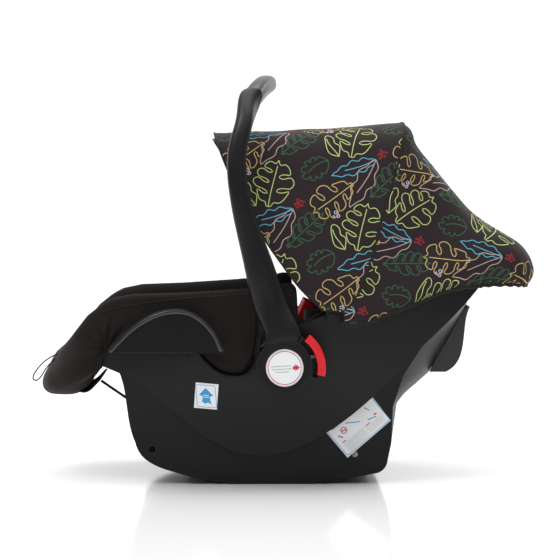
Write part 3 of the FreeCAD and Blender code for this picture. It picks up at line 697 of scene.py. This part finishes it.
def print_on(name, grid, flat, outward, anchor, turn=0.0, width=0.00118):
    """Printed lines over a whole cloth, one object per ink joined into one piece."""
    cloth_print = Printed(grid, flat, 0.00022, outward)
    xs, ys = flat[:, :, 0] * 1000, flat[:, :, 1] * 1000
    low = (xs.min() - 130, ys.min() - 130)
    high = (xs.max() + 130, ys.max() + 130)
    verts = {k: [] for k in INK}
    faces = {k: [] for k in INK}
    lines = motif()
    c, s = math.cos(turn), math.sin(turn)
    for i in range(-14, 15):
        for j in range(-14, 15):
            ox = i * REPEAT_A[0] + j * REPEAT_B[0]
            oy = i * REPEAT_A[1] + j * REPEAT_B[1]
            x = anchor[0] + c * ox - s * oy
            y = anchor[1] + s * ox + c * oy
            if not (low[0] < x < high[0] and low[1] < y < high[1]):
                continue
            for ink, line in lines:
                points = [((x + c * px - s * py) * 0.001, (y + s * px + c * py) * 0.001) for px, py in line]
                v, f = cloth_print.line(points, width)
                k = len(verts[ink])
                verts[ink] += v
                faces[ink] += [tuple(q + k for q in face) for face in f]
    made = [add_mesh(name + "_" + k, verts[k], faces[k], INK[k]) for k in INK if faces[k]]
    return join(name, made)


def outward_sign(grid):
    n = grid_normals(grid)
    middle = grid[grid.shape[0] // 2, grid.shape[1] // 2]
    return 1.0 if n[grid.shape[0] // 2, grid.shape[1] // 2] @ (middle - np.array((CX, 0, CZ))) > 0 else -1.0


def bend_front(obj):
    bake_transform(obj)


def bend_rear(obj):
    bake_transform(obj)


front = front_grid()
sign = outward_sign(front)
front_cloth = shell_from_grid("canopy_front_cloth", front, 0.0014 * sign, CANOPY)
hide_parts("canopy_front_panel")
front_print = print_on("canopy_front_print", front, cloth_coordinates(front), sign, (14.9, 384.0))

rear = rear_sheet()
sign_rear = outward_sign(rear)
rear_cloth = shell_from_grid("canopy_rear_cloth", rear, 0.0014 * sign_rear, CANOPY)
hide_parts("canopy_rear_panel", "canopy_skirt")
rear_print = print_on("canopy_rear_print", rear, cloth_coordinates(rear, polar=True), sign_rear,
                      (183.4, 337.0), math.radians(-43))
for o in (front_cloth, front_print):
    bend_front(o)
for o in (rear_cloth, rear_print):
    bend_rear(o)


def row_tube(name, grid, row, radius, look, lift, bend):
    """Piping laid along one row of a cloth."""
    obj = tube(name, grid[row] + grid_normals(grid)[row] * lift, radius, look)
    bend(obj)
    return obj


front_pipings = [row_tube("canopy_front_piping", front, 0, 0.0013, PIPING, 0.0, bend_front),
                 row_tube("canopy_seam_piping", front, 61, 0.0011, PIPING, 0.0, bend_front)]
hem = tube("canopy_elastic_hem", rear[-1], 0.0022, PIPING)
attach(hem, "seat")


# ------------------------------------------------------------------ padded cover along the rim
SIDE_OUTER = ((-0.318, 0.1120), (-0.314, 0.1140), (-0.305, 0.1215), (-0.296, 0.1290), (-0.287, 0.1355),
              (-0.275, 0.1435), (-0.262, 0.1505), (-0.252, 0.158), (-0.246, 0.176), (-0.238, 0.1835),
              (-0.119, 0.1835), (-0.116, 0.1795), (-0.104, 0.1665), (-0.090, 0.1565), (-0.071, 0.1525),
              (-0.059, 0.1555), (-0.049, 0.170), (-0.0445, 0.190), (-0.0425, 0.204))
CREST = ((-0.318, 0.1755), (-0.305, 0.1860), (-0.298, 0.1955), (-0.2857, 0.2125), (-0.272, 0.2300),
         (-0.255, 0.2435), (-0.246, 0.2490), (-0.237, 0.2535), (-0.210, 0.2590), (-0.148, 0.2610),
         (-0.100, 0.2640), (-0.0425, 0.2680))
BULGE = ((-0.330, 0.0225), (-0.314, 0.0225), (-0.298, 0.0175), (-0.262, 0.010), (-0.246, 0.007),
         (-0.236, 0.0035),
         (-0.046, 0.0032))
UNDER = ((-0.330, 0.046), (-0.300, 0.040), (-0.275, 0.028), (-0.258, 0.010), (-0.248, -0.0015),
         (-0.046, -0.0015))
INSIDE_LOW = ((-0.330, 0.172), (-0.300, 0.172), (-0.250, 0.168), (-0.200, 0.165), (-0.150, 0.128),
              (-0.100, 0.096),
              (-0.046, 0.084))


def table(rows, x):
    return float(np.interp(x, [r[0] for r in rows], [r[1] for r in rows]))


def rim_path(count):
    half = [(-0.0425, -0.1645), (-0.085, -0.1640), (-0.120, -0.1622), (-0.160, -0.1585), (-0.200, -0.1535),
            (-0.234, -0.1488), (-0.262, -0.1440), (-0.287, -0.1310), (-0.305, -0.1020), (-0.314, -0.0550)]
    return smooth_curve(half + [(-0.317, 0.0)] + [(x, -y) for x, y in reversed(half)], count)


LOOP = 84


def cover_section(x):
    """Closed loop of outward distance and height at one place along the rim."""
    crest, low, out = table(CREST, x), table(SIDE_OUTER, x), table(BULGE, x)
    under, base = table(UNDER, x), table(INSIDE_LOW, x)
    thick = 0.013
    points = [(-thick, base), (-thick - 0.002, base + 0.45 * (crest - base)), (-thick - 0.001, crest - 0.020),
              (-thick + 0.0035, crest - 0.005), (-0.0045, crest - 0.0005), (0.002, crest - 0.0015),
              (0.30 * out + 0.0035, crest - 0.010), (0.62 * out + 0.0035, low + 0.62 * (crest - low)),
              (out + 0.0035, low + 0.33 * (crest - low)), (0.94 * out + 0.0035, low + 0.13 * (crest - low)),
              (0.60 * out + 0.0030, low + 0.002), (0.1 * out + 0.0015, low), (-0.6 * under, low + 0.003),
              (-under, low + 0.4 * max(0.0, under) + 0.002)]
    outside = smooth_curve(points, LOOP - 10)
    close = np.linspace(outside[-1], outside[0], 12)[1:-1]
    return np.concatenate([outside, close])


def cover_mesh():
    path = rim_path(401)
    tangent = np.gradient(path, axis=0)
    tangent /= np.linalg.norm(tangent, axis=1)[:, None]
    out = np.stack([tangent[:, 1], -tangent[:, 0]], axis=1)
    if out[5, 1] > 0:
        out = -out
    verts = []
    for p, n in zip(path, out):
        for d, z in cover_section(p[0]):
            x, y = p[0] + n[0] * d, p[1] + n[1] * d
            v = Vector((x, y, z))
            if d > 0:
                fold = gather_folds(v)
                soft = 0.0011 * noise.noise(v * 28) if x < -0.235 else 0.0005 * noise.noise(v * 34)
                v += Vector((n[0], n[1], 0)) * (fold + soft)
            verts.append(v)
    rows = len(path)
    faces = grid_faces(rows, LOOP, wrap_cols=True)
    faces += [tuple(range(LOOP))[::-1], tuple((rows - 1) * LOOP + k for k in range(LOOP))]
    obj = add_mesh("cover_padding", verts, faces, COVER)
    fix_normals(obj)
    return obj


def gather_folds(p):
    """Pulled folds that fan out from the front tip of each belt guide, and small ones under the roll."""
    dx, dz = p.x + 0.2445, p.z - 0.186
    r = math.hypot(dx, dz)
    fan = math.atan2(dz, dx)
    fold = 0.0
    if p.x < -0.205:
        reach = math.exp(-((r - 0.010) / 0.024) ** 2)
        fold -= 0.0052 * reach * (1 - abs(math.sin(5.5 * fan + 0.8 + 22 * r))) ** 1.6
    dx, dz = p.x + 0.258, p.z - 0.160
    r = math.hypot(dx, dz)
    if r < 0.05:
        fold -= 0.0040 * math.exp(-(r / 0.020) ** 2) * (1 - abs(math.sin(6.5 * math.atan2(dz, dx)))) ** 1.5
    line = (p.z - 0.1905) - 0.42 * (-0.262 - p.x)
    if -0.292 < p.x < -0.252:
        fold -= 0.0024 * math.exp(-(line / 0.0026) ** 2) * math.sin(math.pi * (p.x + 0.292) / 0.04)
    return fold


cover = cover_mesh()
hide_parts("cover_side_right", "cover_side_left", "foot_roll")
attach(cover, "seat")


def surface_of(obj):
    return BVHTree.FromObject(obj, bpy.context.evaluated_depsgraph_get())


cover_surface = surface_of(cover)


def seam_line(name, points, side, radius, start_y=0.30, count=60):
    """Sewn seam seen from one side: X, Z points carried in along Y until they meet the cover."""
    run = []
    for x, z in smooth_curve(points, count):
        hit = cover_surface.ray_cast(Vector((x, side * start_y, z)), Vector((0, -side, 0)))
        if hit[0] is not None:
            run.append(hit[0])
    obj = tube(name, run, radius, PIPING)
    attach(obj, "seat")


SEAM_SIDE = [(-0.2700, 0.2305), (-0.240, 0.2385), (-0.193, 0.2465), (-0.150, 0.2520), (-0.100, 0.2565),
             (-0.048, 0.2600)]
for side, word in ((-1, "right"), (1, "left")):
    seam_line("cover_seam_" + word, SEAM_SIDE, side, 0.00085)


# ------------------------------------------------------------------ inner pads
def soft_copy(name, look, cap, voxel=0.005, pressure=4.0, shrink=0.0012):
    """A pad grown from its CAD solid: remeshed, blown up as cloth, smoothed, with a capped swelling."""
    source = NODES[name]
    mesh = source.data.copy()
    obj = bpy.data.objects.new(name + "_soft", mesh)
    bpy.context.scene.collection.objects.link(obj)
    obj.matrix_world = source.matrix_world.copy()
    bpy.context.view_layer.update()
    mesh.transform(obj.matrix_world)
    obj.matrix_world = Matrix.Identity(4)
    remesh = obj.modifiers.new("remesh", "REMESH")
    remesh.mode = "VOXEL"
    remesh.voxel_size = voxel
    smooth = obj.modifiers.new("smooth", "SMOOTH")
    smooth.iterations = 8
    smooth.factor = 0.5
    apply_modifiers(obj)
    rest = np.array([v.co for v in obj.data.vertices])
    normal = np.array([v.normal for v in obj.data.vertices])
    rest -= normal * shrink
    obj.data.vertices.foreach_set("co", rest.ravel())
    obj.data.update()
    sim = obj.modifiers.new("cloth", "CLOTH")
    sim.settings.use_pressure = True
    sim.settings.uniform_pressure_force = pressure
    sim.settings.effector_weights.gravity = 0
    sim.settings.quality = 4
    sim.point_cache.frame_start = 1
    sim.point_cache.frame_end = 20
    scene = bpy.context.scene
    for frame_number in range(1, 21):
        scene.frame_set(frame_number)
    apply_modifiers(obj)
    moved = np.array([v.co for v in obj.data.vertices])
    step = moved - rest
    length = np.linalg.norm(step, axis=1, keepdims=True)
    moved = rest + step * np.minimum(1.0, cap / np.maximum(length, 1e-9))
    obj.data.vertices.foreach_set("co", moved.ravel())
    obj.data.update()
    scene.frame_set(1)
    sub_surf = obj.modifiers.new("fine", "SUBSURF")
    sub_surf.levels = sub_surf.render_levels = 1
    apply_modifiers(obj)
    obj.data.materials.clear()
    obj.data.materials.append(look)
    obj.data.polygons.foreach_set("use_smooth", [True] * len(obj.data.polygons))
    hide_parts(name)
    return obj


def quilt(obj, lines, width, depth):
    """Sewn channels: lines of X, Y points pressed into the upper side of a pad."""
    co = np.array([v.co for v in obj.data.vertices])
    normal = np.array([v.normal for v in obj.data.vertices])
    best = np.full(len(co), 1.0)
    for line in lines:
        for (ax, ay, az), (bx, by, bz) in zip(line, line[1:]):
            a, b = np.array((ax, ay, az)), np.array((bx, by, bz))
            t = np.clip(((co - a) @ (b - a)) / ((b - a) @ (b - a)), 0, 1)
            best = np.minimum(best, np.linalg.norm(co - (a + t[:, None] * (b - a)), axis=1))
    press = depth * np.exp(-(best / width) ** 2)
    obj.data.vertices.foreach_set("co", (co - normal * press[:, None]).ravel())
    obj.data.update()


PADS = {}
for name, cap in (("seat_pad", 0.0035), ("back_pad", 0.0035), ("side_bolster_right", 0.003),
                  ("side_bolster_left", 0.003), ("head_pillow_right", 0.003), ("head_pillow_left", 0.003),
                  ("shoulder_pad_right", 0.0018), ("shoulder_pad_left", 0.0018)):
    small = name.startswith("shoulder")
    voxel, shrink = (0.0035, 0.0006) if small else (0.005, 0.0012)
    PADS[name] = soft_copy(name, INSERT, cap, voxel=voxel, shrink=shrink)

quilt(PADS["seat_pad"], [[(-0.21, y, 0.155), (-0.15, y, 0.118), (-0.10, y, 0.083), (-0.05, y, 0.068),
                          (0.0, y, 0.068), (0.06, y, 0.085), (0.12, y, 0.115), (0.145, y, 0.13)]
                         for y in (-0.078, 0.078)]
      + [[(x, -0.078, z), (x, 0.078, z)] for x, z in ((-0.12, 0.098), (0.015, 0.070), (0.085, 0.096))],
      0.0045, 0.0035)
quilt(PADS["back_pad"], [[(0.150, y, 0.137), (0.182, y, 0.165), (0.212, y, 0.21), (0.232, y, 0.25),
                          (0.246, y, 0.285)]
                         for y in (-0.078, 0.078)]
      + [[(x, -0.078, z), (x, 0.078, z)] for x, z in ((0.182, 0.165), (0.220, 0.23), (0.236, 0.262))],
      0.0045, 0.0035)
for name, obj in PADS.items():
    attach(obj, "seat")


# ------------------------------------------------------------------ webbing
def strap(name, points, sides, width, thick, look, replaced, edge=0.0010):
    """Flat webbing with rounded edges: points of its middle and the direction of its width at each."""
    p = smooth_curve(points, max(24, 6 * len(points)))
    at = np.linspace(0, len(points) - 1, len(p))
    d = np.stack([np.interp(at, range(len(points)), [q[k] for q in sides]) for k in range(3)], axis=1)
    tangent = np.gradient(p, axis=0)
    tangent /= np.linalg.norm(tangent, axis=1)[:, None]
    d -= tangent * np.sum(d * tangent, axis=1)[:, None]
    d /= np.linalg.norm(d, axis=1)[:, None]
    up = np.cross(tangent, d)
    w, h = width / 2, thick / 2
    ring = [(-w, 0), (-w + edge, h), (-w + 3 * edge, 0.75 * h), (-0.3 * w, h), (0.3 * w, h),
            (w - 3 * edge, 0.75 * h), (w - edge, h), (w, 0), (w - edge, -h), (0.3 * w, -h),
            (-0.3 * w, -h), (-w + edge, -h)]
    run = np.concatenate([[0], np.cumsum(np.linalg.norm(np.diff(p, axis=0), axis=1))])
    verts, uv = [], []
    for i in range(len(p)):
        for a, b in ring:
            verts.append(p[i] + d[i] * a + up[i] * b)
            uv.append((a, run[i]))
    k = len(ring)
    faces = grid_faces(len(p), k, wrap_cols=True)
    faces += [tuple(range(k))[::-1], tuple((len(p) - 1) * k + j for j in range(k))]
    obj = add_mesh(name, verts, faces, look, uv=np.array(uv))
    fix_normals(obj)
    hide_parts(replaced)
    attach(obj, "seat")
    return obj


def mm(points):
    return [tuple(c * 0.001 for c in p) for p in points]


SHOULDER = mm([(241, 38, 211.5), (222, 38, 211), (180, 42, 214), (120, 44, 222), (74, 34, 234),
               (50, 24, 244)])
LAP = mm([(37, 126, 50), (36, 124, 90), (35, 108, 140), (36, 78, 192), (37, 50, 222), (38, 34, 232)])
CROTCH = mm([(-28, 0, 38), (-28, 0, 66), (-20, 0, 110), (0, 0, 160), (14, 0, 196)])
for side, word in ((-1, "right"), (1, "left")):
    flip = [(x, side * y, z) for x, y, z in SHOULDER]
    strap("shoulder_webbing_" + word, flip, [(0, 1, 0)] * 6, 0.038, 0.0016, WEB, "shoulder_strap_" + word)
    flip = [(x, side * y, z) for x, y, z in LAP]
    strap("lap_webbing_" + word, flip, [(1, 0, 0)] * 6, 0.025, 0.0016, WEB, "lap_strap_" + word)
    run = mm([(-262, side * 5, 128.5), (-240.5, side * 5, 113.8), (-219.5, side * 5, 99.5)])
    strap("elastic_tie_" + word, run, [(0, 1, 0)] * 3, 0.006, 0.0024, WEB, "elastic_strap_" + word, 0.0008)
strap("crotch_webbing", CROTCH, [(0, 1, 0)] * 5, 0.038, 0.0016, WEB, "crotch_strap")
flap = strap("cover_flap_cloth", mm([(-290, 0, 124.4), (-284, 0, 121.5), (-276, 0, 122), (-268, 0, 128),
                                     (-259, 0, 137.5)]), [(0, 1, 0)] * 5, 0.190, 0.003, COVER, "cover_flap")


# ------------------------------------------------------------------ cord loop
def cord_curve():
    points = mm([(-316, -100, 174), (-330, -104, 168), (-343, -106, 155), (-351, -106, 142),
                 (-346, -105, 136), (-338, -103, 143), (-331, -100, 157), (-317, -96, 170)])
    data = bpy.data.curves.new("cover_cord", "CURVE")
    data.dimensions = "3D"
    line = data.splines.new("NURBS")
    line.points.add(len(points) - 1)
    for p, q in zip(line.points, points):
        p.co = (*q, 1)
    line.order_u = 3
    line.use_endpoint_u = True
    line.resolution_u = 12
    data.bevel_depth = 0.0009
    data.bevel_resolution = 4
    data.materials.append(PIPING)
    obj = bpy.data.objects.new("cover_cord", data)
    bpy.context.scene.collection.objects.link(obj)
    return obj


cord = cord_curve()
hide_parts("cord_loop")
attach(cord, "seat")


# ------------------------------------------------------------------ labels and small marks
def polygon(name, outline, look, project):
    """Flat mark with its outline in X, Z laid on a surface by project."""
    verts = [project(x, z) for x, z in outline]
    centre = project(sum(p[0] for p in outline) / len(outline), sum(p[1] for p in outline) / len(outline))
    n = len(outline)
    fan = [(i, (i + 1) % n, n) for i in range(n)]
    return add_mesh(name, verts + [centre], fan, look, smooth=False)


def band(name, outline, width, look, project, closed=True):
    """Thin printed line of one width along an outline."""
    p = np.array(outline, float)
    if closed:
        p = np.concatenate([p, p[:1]])
    p = resample(p, 0.0015)
    t = np.gradient(p, axis=0)
    t /= np.maximum(np.linalg.norm(t, axis=1)[:, None], 1e-9)
    side = np.stack([-t[:, 1], t[:, 0]], axis=1) * width / 2
    verts = []
    for a, b in zip(p, side):
        verts += [project(*(a + b)), project(*(a - b))]
    faces = [(2 * i, 2 * i + 1, 2 * i + 3, 2 * i + 2) for i in range(len(p) - 1)]
    return add_mesh(name, verts, faces, look, smooth=False)


def on_node(name, lift):
    """Projector onto the outer side of a label node seen from -Y."""
    tree = surface_of(NODES[name])
    world = NODES[name].matrix_world
    back = world.inverted()

    def place(x, z):
        start, end = back @ Vector((x, -0.5, z)), back @ Vector((x, 0.5, z))
        hit = tree.ray_cast(start, (end - start).normalized())
        if hit[0] is None:
            near = tree.find_nearest(back @ Vector((x, -0.16, z)))
            point = world @ near[0]
            return Vector((x, point.y - lift, z))
        point = world @ hit[0]
        return Vector((x, point.y - lift, z))

    return place


def in_frame(origin, x_axis, y_axis):
    """Maps a label's own millimetres to X, Z in metres."""
    def at(u, v):
        return (0.001 * (origin[0] + u * x_axis[0] + v * y_axis[0]),
                0.001 * (origin[1] + u * x_axis[1] + v * y_axis[1]))
    return at


def rounded_box(x0, y0, x1, y1, r, n=5):
    out = []
    for cx, cy, a0 in ((x1 - r, y1 - r, 0), (x0 + r, y1 - r, 90), (x0 + r, y0 + r, 180),
                       (x1 - r, y0 + r, 270)):
        for i in range(n + 1):
            a = math.radians(a0 + 90 * i / n)
            out.append((cx + r * math.cos(a), cy + r * math.sin(a)))
    return out


def mark_group(name, marks, body):
    group = join(name, marks)
    fix = group.modifiers.new("thick", "SOLIDIFY")
    fix.thickness = 0.00008
    fix.offset = 0
    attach(group, body)
    return group


def arrow_marks():
    up = (-0.0725, 0.9974)
    right = (0.9974, -0.0725)
    at = in_frame((-110.3, 121.0), right, up)
    lay = on_node("arrow_label", 0.00012)
    draw = [band("m", [at(*p) for p in rounded_box(-13.2, -15.2, 13.2, 15.2, 2)], 0.0007, BLUE_INK, lay)]
    arrow = [(0, 11.5), (9.5, 1.5), (5, 2), (5, -4), (6.5, -11), (2, -8.5), (-2, -10.5), (-6.5, -8), (-5, -3),
             (-5, 2),
             (-9.5, 1.5)]
    draw.append(polygon("m", [at(*p) for p in arrow], BLUE_INK, lay))
    lay_up = on_node("arrow_label", 0.00022)
    for v in (1.2, -1.4):
        draw.append(band("m", [at(-3.6, v), at(3.6, v)], 0.0009, LABEL, lay_up, False))
    return mark_group("arrow_print", draw, "seat")


def instruction_marks():
    corner = (50.5, 73.0)
    a = (111 - 50.5, 124 - 73.0)
    size = math.hypot(*a)
    right = (a[0] / size, a[1] / size)
    up = (right[1], -right[0])
    at = in_frame(corner, right, up)
    lay = on_node("instruction_label", 0.00012)
    wide, high = size, 48.6
    frame_line = [at(*p) for p in rounded_box(1.6, 1.6, wide - 1.6, high - 1.6, 3)]
    draw = [band("m", frame_line, 0.0009, BLUE_INK, lay)]

    def line(u0, v0, u1, v1, w, look):
        draw.append(band("m", [at(u0, v0), at(u1, v1)], w * 0.001, look, lay, False))

    line(28, 11, 44, 22, 1.3, BLUE_INK)
    line(61, 11, 64, 19, 1.4, BLUE_INK)
    line(54, 27, 66, 31, 1.4, BLUE_INK)
    line(8, 6, 20, 6, 1.6, BLUE_INK)
    draw.append(band("m", [at(*p) for p in circle(20, 17, 4.3)], 0.0011, RED_INK, lay))
    line(17, 14, 23, 20, 1.0, RED_INK)
    line(16.5, 17, 23.5, 17, 1.6, GREY_INK)
    line(9, 18, 13, 24, 2.4, GREY_INK)
    line(65, 27, 69, 28, 2.0, RED_INK)
    line(8, 29, 14, 29, 1.3, RED_INK)
    line(46, 32, 54, 32, 1.2, RED_INK)
    rng = random.Random(5)
    for row in range(6):
        v = 32 + 2.4 * row
        u = 8.0
        while u < 40:
            n = rng.uniform(2.0, 5.5)
            line(u, v, min(u + n, 42), v, 0.6, GREY_INK)
            u += n + 1.0
    for row in range(4):
        v = 35 + 2.4 * row
        u = 46.0
        while u < wide - 8:
            n = rng.uniform(2.0, 5.0)
            line(u, v, min(u + n, wide - 7), v, 0.6, GREY_INK)
            u += n + 1.1
    return mark_group("instruction_print", draw, "seat")


def hub_marks(word, y):
    def lay(x, z):
        return Vector((x, y, z))
    cx, cz = -5.0, 164.0
    at = in_frame((cx, cz), (1, 0), (0, 1))
    turns = [math.tau * i / 64 for i in range(64)]
    draw = [band("m", [at(22 * math.cos(a), 22 * math.sin(a)) for a in turns], 0.0008, RED_INK, lay)]
    arrow = [(11, 2.4), (14.2, 2.6), (14.0, 5.0), (20.6, 0.6), (14.2, -4.2), (14.2, -1.8), (10.6, -2.2)]
    draw.append(polygon("m", [at(*p) for p in arrow], RED_INK, lay))
    rng = random.Random(11)
    for v, u0, u1 in ((2.2, -18.0, 9.0), (-1.8, -16.5, 9.0), (-5.6, -12.0, 6.0)):
        u = u0
        while u < u1:
            n = rng.uniform(1.6, 4.2)
            lift = 0.06 * (u + 4)
            stroke = [at(u, v + lift), at(min(u + n, u1), v + lift + 0.1)]
            draw.append(band("m", stroke, 0.0011, GREY_INK, lay, False))
            u += n + 0.9
    return mark_group("hub_print_" + word, draw, "handle")


arrow_marks()
instruction_marks()
hub_marks("right", -0.22092)
hub_marks("left", 0.22092)


# ------------------------------------------------------------------ rolled edge of the belt guides
WING = smooth_curve(mm([(-239, 183), (-224, 199), (-207.5, 214.3), (-190.5, 225.5), (-171, 233.8),
                        (-152, 236.6), (-133.5, 234.4), (-114.5, 223), (-98.5, 204.3), (-88.8, 184)]), 90)
for side, word in ((-1, "right"), (1, "left")):
    run = [(x, side * 0.1880, z) for x, z in WING]
    # the roll tube carries the lighter guide edge colour, a painted highlight along the rolled edge
    roll = tube("guide_roll_" + word, run, 0.0042, ROLL_PAINTED_HIGHLIGHT, sides=16)
    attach(roll, "seat")
    run = mm([(-242, side * 189.9, 182.2), (-200, side * 189.9, 181.9), (-150, side * 189.9, 181.6),
              (-121, side * 189.9, 181.5)])
    lip = tube("guide_lip_" + word, smooth_curve(run, 30), 0.0011, GUIDE)
    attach(lip, "seat")


# ------------------------------------------------------------------ bead round the cover's recess
shell_surface = surface_of(NODES["shell"])
RECESS_EDGE = smooth_curve(mm([(-119, 178), (-105, 161.8), (-89.5, 151.6), (-71, 147.6), (-56, 150.8),
                               (-43.8, 166.5), (-38.8, 188), (-37, 206)]), 80)
for side, word in ((-1, "right"), (1, "left")):
    run = []
    for x, z in RECESS_EDGE:
        hit = shell_surface.ray_cast(Vector((x + 0.001, side * 0.3, z - 0.0012)), Vector((0, -side, 0)))
        if hit[0] is not None:
            run.append(hit[0])
    bead = tube("recess_bead_" + word, run, 0.0016, SHELL, sides=12)
    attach(bead, "seat")


# ------------------------------------------------------------------ camera, floor, light
def world_light():
    """White above and behind, dark in front, as in a studio with the light over and behind the object."""
    world = bpy.data.worlds.new("studio")
    bpy.context.scene.world = world
    world.use_nodes = True
    tree = world.node_tree
    back = tree.nodes["Background"]
    coords = tree.nodes.new("ShaderNodeTexCoord")
    split = tree.nodes.new("ShaderNodeSeparateXYZ")
    tree.links.new(coords.outputs["Generated"], split.inputs["Vector"])
    parts = []
    for axis, low, high, a, b in (("Z", 0.05, 0.95, 0.10, 1.25), ("Y", -0.35, 0.35, 0.0, 1.15)):
        ramp = tree.nodes.new("ShaderNodeMapRange")
        ramp.interpolation_type = "SMOOTHSTEP"
        for key, value in (("From Min", low), ("From Max", high), ("To Min", a), ("To Max", b)):
            ramp.inputs[key].default_value = value
        tree.links.new(split.outputs[axis], ramp.inputs["Value"])
        parts.append(ramp)
    top = tree.nodes.new("ShaderNodeMath")
    top.operation = "MAXIMUM"
    tree.links.new(parts[0].outputs["Result"], top.inputs[0])
    tree.links.new(parts[1].outputs["Result"], top.inputs[1])
    tree.links.new(top.outputs[0], back.inputs["Strength"])
    back.inputs["Color"].default_value = (1, 1, 1, 1)


def studio():
    scene = bpy.context.scene
    camera = bpy.data.objects.new("camera", bpy.data.cameras.new("camera"))
    scene.collection.objects.link(camera)
    scene.camera = camera
    camera.data.sensor_width = 36
    camera.data.lens = 2465 / 560 * 36
    camera.data.clip_end = 30
    camera.location = (-0.0605, -3.5, 0.426)
    # level and straight at the seat; the shift keeps the picture's middle where it belongs
    camera.rotation_euler = (math.radians(90), 0, 0)
    camera.data.shift_x = (280 - 243) / 560
    camera.data.shift_y = -(280 - 171) / 560
    floor_look = new_material("floor_look", (0.97, 0.97, 0.975), 0.10, Specular_IOR_Level=0.45)
    wide = node(floor_look, "ShaderNodeTexNoise", Scale=3.0, Detail=3.0)
    wire(floor_look, coordinates(floor_look), wide.inputs["Vector"])
    bump(floor_look, wide.outputs["Fac"], 0.01, 0.001)
    floor = add_mesh("floor", [(-9, -6, 0), (9, -6, 0), (9, 9, 0), (-9, 9, 0)], [(0, 1, 2, 3)], floor_look)
    floor.location.z = -0.0004
    world_light()
    for name, place, size, power in (("key", (-1.1, -1.5, 2.5), 1.0, 20), ("top", (0.2, 0.2, 2.6), 2.4, 46),
                                     ("rim", (2.0, 1.8, 1.5), 1.2, 12)):
        lamp = bpy.data.objects.new(name, bpy.data.lights.new(name, "AREA"))
        lamp.data.size = size
        lamp.data.energy = power
        lamp.location = place
        lamp.rotation_mode = "QUATERNION"
        lamp.rotation_quaternion = (Vector((0, 0, 0.25)) - Vector(place)).to_track_quat("-Z", "Y")
        scene.collection.objects.link(lamp)
    scene.view_settings.view_transform = "Standard"


studio()
